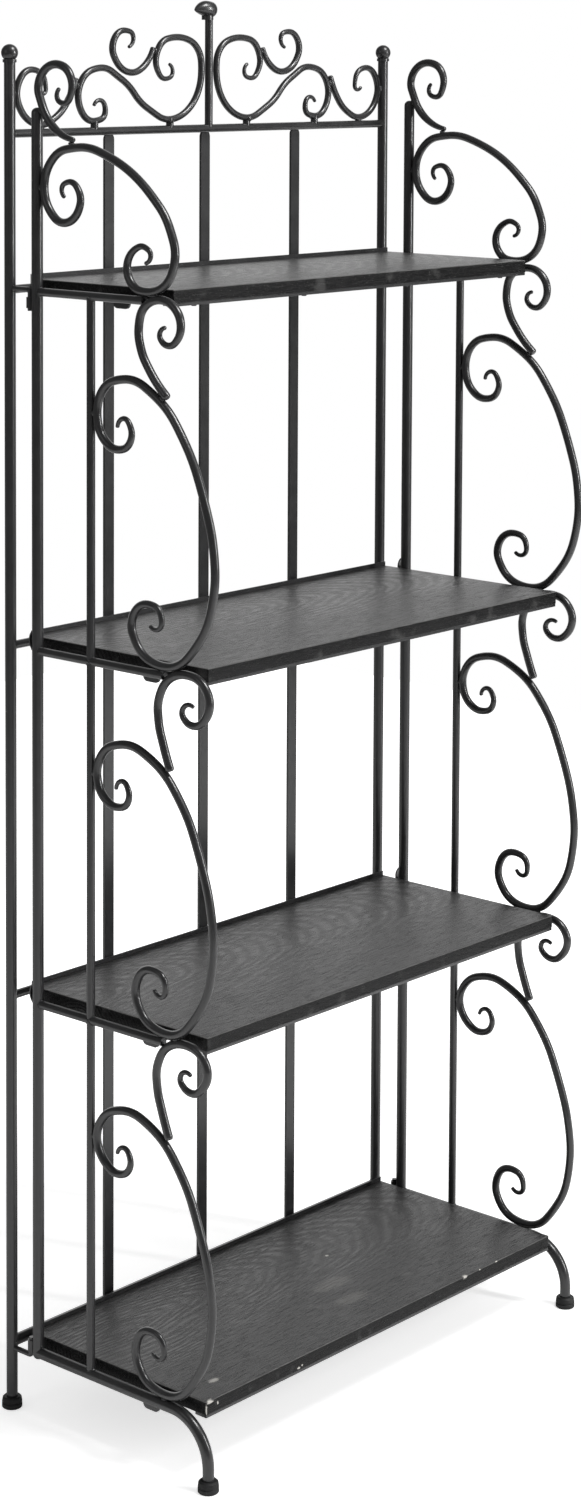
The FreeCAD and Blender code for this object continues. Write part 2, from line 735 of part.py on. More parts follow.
def bud_finial():
    """Bud that lies across the spindle's end, over a small collar."""
    across = FreeCAD.Vector(1, 0, 0)
    outlines = [Part.Vertex(place(radius(bud_diameter), 0, bud_height))]
    for run, size, height in bud_rings():
        centre = place(-run, 0, bud_height + height)
        quarters = [Part.makeCircle(size, centre, across, start, start + 90) for start in (0, 90, 180, 270)]
        outlines.append(Part.Wire(quarters))
    outlines.append(Part.Vertex(place(-bud_length, 0, bud_height - bud_droop)))
    bud = Part.makeLoft(outlines, True, False)
    underside = bud_height - radius(bud_diameter)
    collar = bar(place(-collar_shift, 0, underside - collar_thickness / 2.0),
                 place(-collar_shift, 0, underside + collar_thickness), collar_diameter)
    pocket = bar(place(0, 0, 0), place(0, 0, spindle_top), spindle_diameter + 2.0 * plug_clearance)
    return bud.fuse(collar).removeSplitter().cut(pocket)


crest_shift = 10.0            # most that a crest scroll's end moves to meet its neighbour
crest_reach = crest_diameter + weld_gap
crest_seat = top_rail_height + radius(rail_diameter) + stud_height + radius(crest_diameter)


def crest_stretch():
    """Factor that brings the crest's end scroll against the post."""
    reach = half_spacing - radius(post_diameter) - radius(crest_diameter) - weld_gap
    return reach / Curve(crest_c_points).limits().XMax


def crest_s_path():
    return seated(widened(crest_s_points, crest_stretch()), left=crest_inner_offset, bottom=crest_seat)


def first_end_on_s_scroll(shape):
    """Points with the first one moved sideways until the rod meets the crest's S scroll."""
    neighbour = Curve(crest_s_path()).wire

    def end_moved(by):
        return [(shape[0][0] - by, shape[0][1])] + shape[1:]

    by = solve(lambda value: distance(end_moved(value), neighbour), -crest_shift, crest_shift, crest_reach)
    return end_moved(by)


def crest_c_path():
    """End scroll of the crest, on the top rail and against the post."""
    seat = crest_seat - stud_height + weld_gap
    return first_end_on_s_scroll(seated(widened(crest_c_points, crest_stretch()), bottom=seat))


def crest_hook_path():
    """Small hook that stands on the crest's S scroll."""
    raised = crest_seat - min(height for offset, height in crest_s_points)
    return first_end_on_s_scroll(shifted(widened(crest_hook_points, crest_stretch()), 0.0, raised))


def stud_offsets():
    """Offsets of the S scroll's lowest points."""
    lowest = min(height for offset, height in crest_s_points)
    return [offset * crest_stretch() for offset, height in crest_s_points if height == lowest]


def stud(x):
    """Short stub between the top rail and a crest scroll."""
    piece = bar(place(x, 0, top_rail_height), place(x, 0, crest_seat), stud_diameter)
    piece = piece.cut(coping(place(-half_spacing, 0, top_rail_height),
                             place(half_spacing, 0, top_rail_height), rail_diameter))
    return piece.cut(swept(crest_s_path(), crest_space, crest_diameter + 2.0 * weld_gap))


def hinge_hook(height, end_height):
    """Rod that leaves the back post and bends up or down through a barrel."""
    sign = 1.0 if end_height > height else -1.0
    bend = hook_bend_radius
    half = math.sqrt(0.5) * bend
    start = place(-half_spacing, 0.0, height)
    corner = [place(-half_spacing, hinge_setback - bend, height),
              place(-half_spacing, hinge_setback - bend + half, height + sign * (bend - half)),
              place(-half_spacing, hinge_setback, height + sign * bend)]
    end = place(-half_spacing, hinge_setback, end_height)
    path = Part.Wire([Part.LineSegment(start, corner[0]).toShape(), Part.Arc(*corner).toShape(),
                      Part.LineSegment(corner[2], end).toShape()])
    rod = pipe(path, start, FreeCAD.Vector(0, -1, 0), hook_diameter)
    return rod.cut(post_coping(-half_spacing))


def hinge_hooks():
    upper_arm = upper_barrel_bottom + upper_barrel_height + upper_hook_gap + radius(hook_diameter)
    lower_arm = lower_barrel_bottom - lower_hook_gap - radius(hook_diameter)
    lower_end = lower_barrel_bottom + lower_barrel_height + hook_end_past_barrel
    upper = hinge_hook(upper_arm, upper_barrel_bottom - hook_end_past_barrel)
    return group([both_sides(upper), both_sides(hinge_hook(lower_arm, lower_end))])


def pivot(level, x):
    return place(x, pivot_setback, board_tops[level] - pivot_below_top)


def disc(centre, diameter, width):
    """Short cylinder along X whose low end is at the centre given."""
    return Part.makeCylinder(radius(diameter), width, centre, FreeCAD.Vector(1, 0, 0))


def hinge_lug(level):
    """Plate from a cross rail to the shelf's pivot."""
    inner = pivot_offset - lug_thickness
    centre = pivot(level, inner)
    foot = place(inner, 0.0, level_heights[level])
    along = (centre - foot).normalize()
    across = FreeCAD.Vector(0, -along.z, along.y) * ear_radius
    corners = [foot + across, centre + across, centre - across, foot - across, foot + across]
    web = Part.Face(Part.makePolygon(corners)).extrude(FreeCAD.Vector(lug_thickness, 0, 0))
    plate = web.fuse(disc(centre, 2.0 * ear_radius, lug_thickness)).removeSplitter()
    plate = plate.cut(disc(centre, pin_diameter + 2.0 * pin_clearance, lug_thickness))
    return plate.cut(coping(place(-half_spacing, 0, level_heights[level]),
                            place(half_spacing, 0, level_heights[level]), rail_diameters[level]))


def ear_offset():
    return pivot_offset - lug_thickness - hinge_play - ear_thickness


def hinge_pin(level):
    """Pin through lug and ear, with a head inside the ear."""
    head_face = ear_offset() - hinge_play
    head = disc(pivot(level, head_face - pin_head_height), pin_head_diameter, pin_head_height)
    shank = disc(pivot(level, head_face), pin_diameter, pivot_offset - head_face)
    return head.fuse(shank).removeSplitter()


def back_panel():
    """Nodes of the back panel by name."""
    crest_s = swept(crest_s_path(), crest_space, crest_diameter)
    crest_c = swept(crest_c_path(), crest_space, crest_diameter)
    hook = swept(crest_hook_path(), crest_space, crest_diameter)
    return {
        "back_left_post": back_post(-half_spacing),
        "back_right_post": back_post(half_spacing),
        "post_ball_finials": both_sides(ball_finial(-half_spacing)),
        "back_rubber_feet": both_sides(rubber_foot(-half_spacing, 0.0, post_diameter)),
        "top_rail": cross_bar(top_rail_height, rail_diameter),
        "cross_rails": group([cross_bar(level_heights[n], rail_diameters[n]) for n in range(4)]),
        "back_slats": group([slat(slat_spacing * n) for n in (-1, 0, 1)]),
        "crest_spindle": spindle(),
        "crest_spindle_finial": bud_finial(),
        "crest_s_scrolls": both_sides(crest_s),
        "crest_end_scrolls": both_sides(crest_c),
        "crest_upper_scrolls": both_sides(hook),
        "crest_studs": group([both_sides(stud(x)) for x in stud_offsets()]),
        "hinge_hooks": hinge_hooks(),
        "shelf_hinge_lugs": group([both_sides(hinge_lug(n)) for n in range(4)]),
        "shelf_hinge_pins": group([both_sides(hinge_pin(n)) for n in range(4)]),
    }


# ---- shelves ---------------------------------------------------------------
def spread(count, edge_offset):
    """Evenly spaced offsets over the board's width."""
    reach = board_width / 2.0 - edge_offset
    return [-reach + 2.0 * reach * n / (count - 1) for n in range(count)]


def screw_places(level):
    """Head face centres of a shelf's screws, below the strip and the angle."""
    bottom = board_tops[level] - board_thickness
    front = board_rear + board_depths[level] - strip_inset - strip_depth / 2.0
    rear = board_rear + angle_foot / 2.0
    places = []
    for x in spread(screw_count, screw_edge_offset):
        places.append(place(x, front, bottom - strip_thickness))
        places.append(place(x, rear, bottom - angle_thickness))
    return places


def screw(head_face):
    upwards = FreeCAD.Vector(0, 0, 1)
    head = Part.makeCone(radius(screw_head_diameter) - screw_head_height / 2.0,
                         radius(screw_head_diameter), screw_head_height,
                         head_face - upwards * screw_head_height)
    shank = Part.makeCylinder(radius(screw_shank_diameter), screw_length, head_face)
    return head.fuse(shank).removeSplitter()


def screw_holes(level):
    size = radius(screw_shank_diameter) + plug_clearance
    return [Part.makeCylinder(size, screw_length + screw_hole_spare, spot) for spot in screw_places(level)]


def board(level):
    top = board_tops[level]
    half = board_width / 2.0
    panel = block((-half, half), (board_rear, board_rear + board_depths[level]),
                  (top - board_thickness, top))
    front = place(0, board_rear + board_depths[level], 0).y
    upright = [edge for edge in panel.Edges
               if edge.BoundBox.ZLength > tolerance and abs(edge.CenterOfMass.y - front) < tolerance]
    panel = panel.makeFillet(board_corner_radius, upright)
    rims = [edge for edge in panel.Edges if edge.BoundBox.ZLength < tolerance]
    panel = panel.makeFillet(board_edge_radius, rims)
    return panel.cut(screw_holes(level))


def rear_angle(level):
    """Steel angle along the board's rear edge, with an ear for each pin."""
    half = board_width / 2.0
    bottom = board_tops[level] - board_thickness
    back = board_rear - angle_thickness
    wall = block((-half, half), (back, board_rear),
                 (bottom - angle_thickness, board_tops[level] + lip_height))
    foot = block((-half, half), (back, board_rear + angle_foot), (bottom - angle_thickness, bottom))
    pieces = [foot]
    for x in (ear_offset(), -ear_offset() - ear_thickness):
        centre = pivot(level, x)
        pieces.append(disc(centre, 2.0 * ear_radius, ear_thickness))
        pieces.append(block((x, x + ear_thickness), (pivot_setback, board_rear),
                            (centre.z - ear_radius, centre.z + ear_radius)))
    angle = wall.fuse(pieces).removeSplitter()
    for x in (ear_offset(), -ear_offset() - ear_thickness):
        angle = angle.cut(disc(pivot(level, x), pin_diameter + 2.0 * pin_clearance, ear_thickness))
    return angle.cut(screw_holes(level))


def front_strip(level):
    """Flat steel bar under the board's front edge."""
    half = board_width / 2.0 - strip_end_inset
    front = board_rear + board_depths[level] - strip_inset
    bottom = board_tops[level] - board_thickness
    strip = block((-half, half), (front - strip_depth, front), (bottom - strip_thickness, bottom))
    return strip.cut(screw_holes(level))


def shelf(level):
    """Nodes of one shelf by name."""
    return {
        "board": board(level),
        "rear_angle": rear_angle(level),
        "front_strip": front_strip(level),
        "screws": group([screw(spot) for spot in screw_places(level)]),
    }


def build():
    os.makedirs("parts", exist_ok=True)
    for name, shape in back_panel().items():
        save(name, shape)
    for name, shape in side_panel().items():
        save("left_" + name, shape)
        save("right_" + name, mirrored(shape))
    for level in range(4):
        for name, shape in shelf(level).items():
            save("shelf_%d_%s" % (level + 1, name), shape)


build()
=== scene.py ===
"""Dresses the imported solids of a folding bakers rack: scroll rods, weld beads, shelf boards and finishes."""

import cmath
import json
import logging
import math
import random
from dataclasses import dataclass, field
from enum import Enum, IntEnum

import bmesh
import bpy
from mathutils import Matrix, Vector
from mathutils.bvhtree import BVHTree


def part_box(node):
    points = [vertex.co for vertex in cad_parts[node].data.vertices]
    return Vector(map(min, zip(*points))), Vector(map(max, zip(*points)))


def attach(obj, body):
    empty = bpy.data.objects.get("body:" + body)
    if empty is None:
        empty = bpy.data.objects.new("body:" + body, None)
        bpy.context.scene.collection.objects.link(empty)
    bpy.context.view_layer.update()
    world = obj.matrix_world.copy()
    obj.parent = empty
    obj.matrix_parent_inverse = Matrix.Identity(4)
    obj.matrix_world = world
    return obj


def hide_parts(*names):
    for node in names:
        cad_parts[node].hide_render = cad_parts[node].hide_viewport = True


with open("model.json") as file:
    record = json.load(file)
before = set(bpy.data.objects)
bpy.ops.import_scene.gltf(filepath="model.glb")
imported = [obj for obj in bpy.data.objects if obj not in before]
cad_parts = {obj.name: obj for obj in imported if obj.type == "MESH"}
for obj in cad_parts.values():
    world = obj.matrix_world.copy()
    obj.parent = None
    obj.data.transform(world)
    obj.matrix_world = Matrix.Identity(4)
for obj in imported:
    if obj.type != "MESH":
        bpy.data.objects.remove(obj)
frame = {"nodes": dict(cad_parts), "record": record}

LOG = logging.getLogger("bakers_rack")
MM = 0.001
SAME_SPOT = 1e-6
STRAIGHT_TURN = 1e-4
STRAIGHT_BEND = 1e-9
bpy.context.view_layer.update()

Socket = bpy.types.NodeSocket


class Axis(IntEnum):
    """Directions of the part: X across, Y to the back, Z up."""

    X = 0
    Y = 1
    Z = 2


class Slot(Enum):
    """Material slots of the record."""

    STEEL = "black_steel"
    WOOD = "black_wood"
    RUBBER = "rubber"
    SCREW = "screw_steel"


# ---- node helpers -----------------------------------------------------------


class Tree:
    """Thin wrapper that adds, fills and links shader nodes."""

    def __init__(self, nodes_owner: bpy.types.NodeTree) -> None:
        """Keeps the node tree of a material, a world or a group."""
        self.tree = nodes_owner

    def fill(self, node: bpy.types.Node, values: dict) -> None:
        """Links sockets to a node's inputs and writes constants into them.

        Args:
            node: node that takes the values.
            values: socket, number or colour for each input, by name or index.
        """
        for name, value in values.items():
            if isinstance(value, Socket):
                self.tree.links.new(value, node.inputs[name])
            else:
                node.inputs[name].default_value = value

    def add(self, kind: str, values: dict | None = None, **settings: object) -> bpy.types.Node:
        """Adds a node.

        Args:
            kind: node type without its ShaderNode prefix.
            values: socket, number or colour for each input, by name or index.
            settings: properties of the node.

        Returns:
            The new node.
        """
        node = self.tree.nodes.new("ShaderNode" + kind)
        for name, value in settings.items():
            setattr(node, name, value)
        self.fill(node, values or {})
        return node

    def maths(self, operation: str, *values: object) -> Socket:
        """Result of a Math node on sockets or numbers."""
        return self.add("Math", dict(enumerate(values)), operation=operation).outputs[0]

    def times(self, first: object, second: object) -> Socket:
        """Product of two sockets or numbers."""
        return self.maths("MULTIPLY", first, second)

    def plus(self, first: object, second: object) -> Socket:
        """Sum of two sockets or numbers."""
        return self.maths("ADD", first, second)

    def ramp(self, source: Socket, low: float, high: float, start: float = 0.0, end: float = 1.0) -> Socket:
        """Maps a value from low..high to start..end, held at the ends."""
        return self.add("MapRange", {0: source, 1: low, 2: high, 3: start, 4: end}, clamp=True).outputs[0]

    def mix(self, factor: Socket, first: object, second: object) -> Socket:
        """Mixes two colours.

        Args:
            factor: share of the second colour.
            first: colour or socket.
            second: colour or socket.

        Returns:
            The mixed colour's socket.
        """
        colours = [value if isinstance(value, Socket) else (*value, 1.0) for value in (first, second)]
        node = self.add("Mix", {0: factor, 6: colours[0], 7: colours[1]}, data_type="RGBA")
        return node.outputs[2]

    def noise(self, vector: Socket, scale: object, detail: float = 3.0) -> Socket:
        """Value of a noise texture; its scale is a number or a socket."""
        return self.add("TexNoise", {"Vector": vector, "Scale": scale, "Detail": detail}).outputs["Fac"]

    def stretched(self, vector: Socket, scale: tuple, shift: tuple = (0, 0, 0)) -> Socket:
        """Coordinates times scale along X, Y and Z, plus shift."""
        return self.add("Mapping", {"Vector": vector, "Location": shift, "Scale": scale}).outputs["Vector"]

    def length(self, vector: Socket) -> Socket:
        """Length of a vector."""
        return self.add("VectorMath", {0: vector}, operation="LENGTH").outputs["Value"]

    def parts(self, vector: Socket) -> tuple:
        """The X, Y and Z of a vector."""
        return tuple(self.add("SeparateXYZ", {0: vector}).outputs)

    def raised(self, height: Socket, strength: float, distance: float) -> Socket:
        """Normal of a surface that height raises, by distance in metres at the most."""
        return self.add("Bump", {"Height": height, "Strength": strength, "Distance": distance}).outputs[0]


def new_group(name: str, inputs: dict, outputs: tuple) -> tuple:
    """Makes an empty shader node group whose sockets are all numbers.

    Args:
        name: group name.
        inputs: default value by input name.
        outputs: names of the outputs.

    Returns:
        The group, its Tree, its input node and its output node.
    """
    group = bpy.data.node_groups.new(name, "ShaderNodeTree")
    for label, value in inputs.items():
        socket = group.interface.new_socket(label, in_out="INPUT", socket_type="NodeSocketFloat")
        socket.default_value = value
    for label in outputs:
        group.interface.new_socket(label, in_out="OUTPUT", socket_type="NodeSocketFloat")
    return group, Tree(group), group.nodes.new("NodeGroupInput"), group.nodes.new("NodeGroupOutput")


# ---- shared effects ---------------------------------------------------------

# A noise texture stays between these two values nearly everywhere.
NOISE_SPAN = (0.3, 0.7)


def coat_skin_group() -> bpy.types.NodeTree:
    """Fine orange peel with faint waves, as sprayed coats and moulded rubber have.

    Returns:
        Group with Height and Mottle outputs that change over the surface.
    """
    peel_share, wave_share = 0.6, 0.4
    group, tree, given, result = new_group(
        "coat_skin", {"Grain Scale": 900.0, "Wave Scale": 45.0}, ("Height", "Mottle"))
    place = tree.add("TexCoord").outputs["Object"]
    peel = tree.noise(place, given.outputs["Grain Scale"], detail=2.0)
    wave = tree.noise(place, given.outputs["Wave Scale"])
    height = tree.plus(tree.times(peel, peel_share), tree.times(wave, wave_share))
    tree.fill(result, {"Height": height, "Mottle": tree.ramp(wave, *NOISE_SPAN)})
    return group


def scuff_group() -> bpy.types.NodeTree:
    """Sparse small rubs and specks of dust.

    Returns:
        Group with a Mask output, 0 where the surface is clean.
    """
    patch_rim, patch_strength = (0.62, 0.72), 0.5
    speck_rim, speck_scale = (0.68, 0.74), 700.0
    group, tree, given, result = new_group("scuffs", {"Scale": 60.0, "Amount": 0.5}, ("Mask",))
    place = tree.add("TexCoord").outputs["Object"]
    patch = tree.ramp(tree.noise(place, given.outputs["Scale"], detail=4.0), *patch_rim)
    speck = tree.ramp(tree.noise(place, speck_scale, detail=1.0), *speck_rim)
    both = tree.maths("MAXIMUM", tree.times(patch, patch_strength), speck)
    tree.fill(result, {"Mask": tree.times(both, given.outputs["Amount"])})
    return group


GROUP_MAKERS = {"coat_skin": coat_skin_group, "scuffs": scuff_group}
GROUPS: dict = {}


def shared(tree: Tree, name: str, values: dict) -> bpy.types.Node:
    """Places a shared group in a material, and builds it at its first use.

    Args:
        tree: the material's tree.
        name: key of the group.
        values: constants for the group's inputs.

    Returns:
        The group node.
    """
    if name not in GROUPS:
        GROUPS[name] = GROUP_MAKERS[name]()
    return tree.add("Group", values, node_tree=GROUPS[name])


# ---- finishes ---------------------------------------------------------------


def blank(name: str) -> tuple:
    """Makes an empty material with a Principled shader.

    Args:
        name: material name.

    Returns:
        The material, its Tree and the shader node.
    """
    material = bpy.data.materials.new(name)
    material.use_nodes = True
    material.node_tree.nodes.clear()
    tree = Tree(material.node_tree)
    shader = tree.add("BsdfPrincipled")
    tree.add("OutputMaterial", {"Surface": shader.outputs[0]})
    return material, tree, shader


@dataclass(frozen=True)
class Coat:
    """Sprayed or moulded skin over steel or rubber; the depth of its peel is in metres."""

    name: str
    colour: tuple
    worn_colour: tuple
    roughness: float
    roughness_spread: float
    grain_scale: float
    depth: float
    scuffs: float
    gloss: float = 0.5
    lacquer: float = 0.0
    lacquer_roughness: float = 0.14
    deep_share: float = 0.7
    scuff_roughness: float = 0.25
    bump_strength: float = 0.5

    def build(self) -> bpy.types.Material:
        """Makes the material.

        Returns:
            The new material.
        """
        material, tree, shader = blank(self.name)
        skin = shared(tree, "coat_skin", {"Grain Scale": self.grain_scale})
        mottle = skin.outputs["Mottle"]
        scuffed = shared(tree, "scuffs", {"Amount": self.scuffs}).outputs["Mask"]
        deep = tuple(part * self.deep_share for part in self.colour)
        low, high = self.roughness - self.roughness_spread, self.roughness + self.roughness_spread
        rough = tree.ramp(mottle, 0.0, 1.0, low, high)
        tree.fill(shader, {
            "Base Color": tree.mix(scuffed, tree.mix(mottle, deep, self.colour), self.worn_colour),
            "Roughness": tree.plus(rough, tree.times(scuffed, self.scuff_roughness)),
            "Specular IOR Level": self.gloss,
            "Coat Weight": self.lacquer,
            "Coat Roughness": self.lacquer_roughness,
            "Normal": tree.raised(skin.outputs["Height"], self.bump_strength, self.depth),
        })
        return material


@dataclass(frozen=True)
class Mark:
    """Chip or rub that shows paler wood, an ellipsoid with a ragged rim, in metres."""

    place: tuple
    reach: tuple
    strength: float = 1.0


BOARD_MARKS = (
    Mark((-0.3062, -0.1360, 0.0800), (0.0012, 0.0016, 0.0056)),
    Mark((-0.3000, -0.1360, 0.0864), (0.0060, 0.0016, 0.0012)),
    Mark((-0.2884, -0.1360, 0.0822), (0.0012, 0.0012, 0.0018)),
    Mark((-0.1563, -0.1360, 0.0765), (0.0022, 0.0012, 0.0014)),
    Mark((-0.1505, -0.1360, 0.0778), (0.0013, 0.0012, 0.0011)),
    Mark((0.1423, -0.1360, 0.0880), (0.0024, 0.0014, 0.0010)),
    Mark((0.1700, -0.1360, 0.0882), (0.0018, 0.0013, 0.0009)),
    Mark((0.2020, -0.1360, 0.0882), (0.0022, 0.0013, 0.0009)),
    Mark((-0.2616, -0.1050, 0.0885), (0.0075, 0.0040, 0.0015), 0.55),
    Mark((0.0782, 0.0255, 0.0885), (0.0024, 0.0022, 0.0015), 0.9),
    Mark((0.0195, -0.0330, 0.0885), (0.0320, 0.0130, 0.0015), 0.10),
    Mark((0.0046, -0.0763, 0.0885), (0.0260, 0.0110, 0.0015), 0.10),
)


@dataclass(frozen=True)
class StainedBoard:
    """Black stained board with an embossed, flat sawn grain along X, and darker, less glossy edge faces that
    are painted shade for how the narrow faces are lit.

    A pair named rim holds the two values between which an effect sets in. Lengths are in metres.
    """

    name: str = "black_stained_board"
    dark: tuple = (0.0065, 0.0065, 0.007)
    light: tuple = (0.045, 0.0448, 0.0445)
    edge: tuple = (0.17, 0.168, 0.165)
    core: tuple = (0.62, 0.60, 0.56)
    tone_rim: tuple = (-0.6, 0.9)
    speckle: float = 0.45
    speckle_scale: float = 620.0
    speckle_rim: tuple = (0.42, 0.66)
    roughness: tuple = (0.44, 0.30)
    painted_edge_shade: tuple = (0.006, 0.006, 0.0062)
    painted_edge_shade_rim: tuple = (0.3, 0.6)
    painted_edge_shade_specular: float = 0.2
    flat_specular: float = 0.5
    ring_width: float = 0.0062
    ring_rim: tuple = (0.08, 0.40)
    heart: float = 0.06
    arch_slope: float = 0.25
    arch_lift: float = 0.08
    sway: float = 0.2
    sway_rate: float = 40.0
    wander: float = 0.045
    wander_scale: tuple = (4.0, 14.0, 14.0)
    relief: float = 0.9
    faint_relief: float = 0.12
    relief_rim: tuple = (-0.07, 0.03)
    relief_wander: float = 0.16
    pore_scale: tuple = (60.0, 900.0, 900.0)
    pore_rim: tuple = (0.50, 0.64)
    pore_share: float = 0.35
    pore_depth: float = 0.00042
    bump_strength: float = 0.8
    wear_rim: tuple = (0.3, 0.6)
    wear_share: float = 0.35
    scuff_scale: float = 35.0
    scuffs: float = 0.45
    marks: tuple = BOARD_MARKS
    mark_rim: tuple = (0.75, 1.05)
    mark_rag: float = 0.35
    rag_scale: float = 1100.0
    chip_roughness: float = 0.3

    def grain(self, tree: Tree, place: Socket) -> tuple:
        """Embossed growth rings, cut by short pores.

        Args:
            tree: the material's tree.
            place: object coordinates.

        Returns:
            Sockets of the surface's height and of the pores alone.
        """
        along, setback, level = tree.parts(place)
        slow = tree.ramp(tree.noise(tree.stretched(place, self.wander_scale), 1.0), 0.0, 1.0, -0.5, 0.5)
        start = tree.times(tree.maths("SINE", tree.times(level, self.sway_rate)), self.sway)
        middle = tree.maths("SUBTRACT", setback, self.heart)
        climb = tree.times(tree.plus(along, start), self.arch_slope)
        away = tree.add("CombineXYZ", {0: tree.plus(middle, tree.times(slow, self.wander)),
                                       1: tree.plus(climb, self.arch_lift)})
        turns = tree.maths("DIVIDE", tree.length(away.outputs[0]), self.ring_width)
        ring = tree.ramp(tree.maths("PINGPONG", turns, 0.5), *self.ring_rim)
        bent = tree.plus(setback, tree.times(slow, self.relief_wander))
        clear = tree.ramp(bent, *self.relief_rim, self.faint_relief, 1.0)
        pores = tree.noise(tree.stretched(place, self.pore_scale), 1.0)
        cut = tree.times(tree.ramp(pores, *self.pore_rim), tree.ramp(ring, 0.0, 1.0, self.pore_share, 1.0))
        raised = tree.times(tree.times(ring, clear), self.relief)
        return tree.maths("SUBTRACT", raised, cut), pores

    def bare(self, tree: Tree, place: Socket) -> Socket:
        """Mask of the chips and rubs.

        Args:
            tree: the material's tree.
            place: object coordinates.

        Returns:
            The mask's socket, 1 where the core shows.
        """
        ragged = tree.noise(place, self.rag_scale, detail=2.0)
        rag = tree.ramp(ragged, *NOISE_SPAN, -self.mark_rag, self.mark_rag)
        mask = None
        for mark in self.marks:
            factor = tuple(1.0 / part for part in mark.reach)
            shift = tuple(-part * size for part, size in zip(mark.place, factor))
            near = tree.length(tree.stretched(place, factor, shift))
            spot = tree.ramp(tree.plus(near, rag), *self.mark_rim, mark.strength, 0.0)
            mask = spot if mask is None else tree.maths("MAXIMUM", mask, spot)
        return mask

    def build(self) -> bpy.types.Material:
        """Makes the material.

        Returns:
            The new material.
        """
        material, tree, shader = blank(self.name)
        coordinates = tree.add("TexCoord")
        place = coordinates.outputs["Object"]
        # Painted shade: the narrow edge faces, found by their normal, get a darker colour and a lower specular
        # level than the flat faces.
        facing = tree.maths("ABSOLUTE", tree.parts(coordinates.outputs["Normal"])[2])
        flat = tree.ramp(facing, *self.painted_edge_shade_rim)
        height, pores = self.grain(tree, place)
        speckle = tree.ramp(tree.noise(place, self.speckle_scale, detail=2.0), *self.speckle_rim)
        tone = tree.ramp(tree.plus(height, tree.times(speckle, self.speckle)), *self.tone_rim)
        wood = tree.mix(flat, self.painted_edge_shade, tree.mix(tone, self.dark, self.light))
        scuffed = shared(tree, "scuffs", {"Scale": self.scuff_scale, "Amount": self.scuffs}).outputs["Mask"]
        dusty = tree.mix(scuffed, wood, self.edge)
        wear = tree.add("Attribute", attribute_name="edge_wear").outputs["Fac"]
        rubbed = tree.times(wear, tree.ramp(pores, *self.wear_rim, self.wear_share, 1.0))
        broken = tree.add("Attribute", attribute_name="chip").outputs["Fac"]
        chip = tree.maths("MAXIMUM", broken, self.bare(tree, place))
        rough = tree.ramp(tone, 0.0, 1.0, *self.roughness)
        tree.fill(shader, {
            "Base Color": tree.mix(chip, tree.mix(rubbed, dusty, self.edge), self.core),
            "Roughness": tree.plus(rough, tree.times(chip, self.chip_roughness)),
            "Specular IOR Level": tree.ramp(flat, 0.0, 1.0, self.painted_edge_shade_specular, self.flat_specular),
            "Normal": tree.raised(height, self.bump_strength, self.pore_depth),
        })
        return material


FINISHES = {
    Slot.STEEL: Coat("satin_black_coat", colour=(0.019, 0.019, 0.020), worn_colour=(0.13, 0.13, 0.13),
                     roughness=0.40, roughness_spread=0.05, grain_scale=900.0, depth=0.00005, scuffs=0.12,
                     lacquer=0.8, lacquer_roughness=0.2),
    Slot.RUBBER: Coat("moulded_rubber", colour=(0.012, 0.012, 0.0125), worn_colour=(0.07, 0.069, 0.066),
                      roughness=0.62, roughness_spread=0.08, grain_scale=1500.0, depth=0.00008, scuffs=0.5),
    Slot.SCREW: Coat("black_oxide", colour=(0.022, 0.022, 0.024), worn_colour=(0.16, 0.16, 0.165),
                     roughness=0.34, roughness_spread=0.08, grain_scale=2000.0, depth=0.00003, scuffs=0.5),
    Slot.WOOD: StainedBoard(),
}


class Palette:
    """One material for each slot of the record."""

    def __init__(self) -> None:
        """Builds every finish once."""
        self.materials = {slot: finish.build() for slot, finish in FINISHES.items()}

    def dress(self, thing: bpy.types.Object, slot: Slot) -> None:
        """Gives an object the material of a slot."""
        thing.data.materials.clear()
        thing.data.materials.append(self.materials[slot])

    def dress_nodes(self) -> None:
        """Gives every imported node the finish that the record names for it."""
        for row in frame["record"]["subparts"]:
            self.dress(frame["nodes"][row["node"]], Slot(row["material_slot"]))


# ---- mesh helpers -----------------------------------------------------------


def to_object(name: str, shape: bmesh.types.BMesh, smooth_angle: float = 40.0) -> bpy.types.Object:
    """Turns a bmesh into a shaded object in the scene.

    Args:
        name: piece name.
        shape: mesh, freed afterwards.
        smooth_angle: edges sharper than this, in degrees, stay sharp.

    Returns:
        The new object.
    """
    mesh = bpy.data.meshes.new(name)
    bmesh.ops.recalc_face_normals(shape, faces=shape.faces)
    shape.to_mesh(mesh)
    shape.free()
    mesh.shade_smooth()
    mesh.set_sharp_from_angle(angle=math.radians(smooth_angle))
    thing = bpy.data.objects.new(name, mesh)
    bpy.context.scene.collection.objects.link(thing)
    return thing


def full_turn(count: int) -> list:
    """Angles evenly spaced round a full turn."""
    return [2.0 * math.pi * n / count for n in range(count)]


def skin_rings(target: bmesh.types.BMesh, rings: list, capped: bool = True) -> None:
    """Joins rings of vertices by faces.

    Args:
        target: mesh that takes the faces.
        rings: lists of vertices, all of one length.
        capped: closes the two ends; otherwise the last ring joins the first.
    """
    pairs = list(zip(rings, rings[1:]))
    if capped:
        target.faces.new(rings[0])
        target.faces.new(rings[-1])
    else:
        pairs.append((rings[-1], rings[0]))
    for lower, upper in pairs:
        for n in range(len(lower)):
            m = (n + 1) % len(lower)
            target.faces.new((lower[n], lower[m], upper[m], upper[n]))


@dataclass
class Chip:
    """Small piece broken off a board's upper front edge, in metres; offset is the X of its middle."""

    offset: float
    length: float
    depth: float


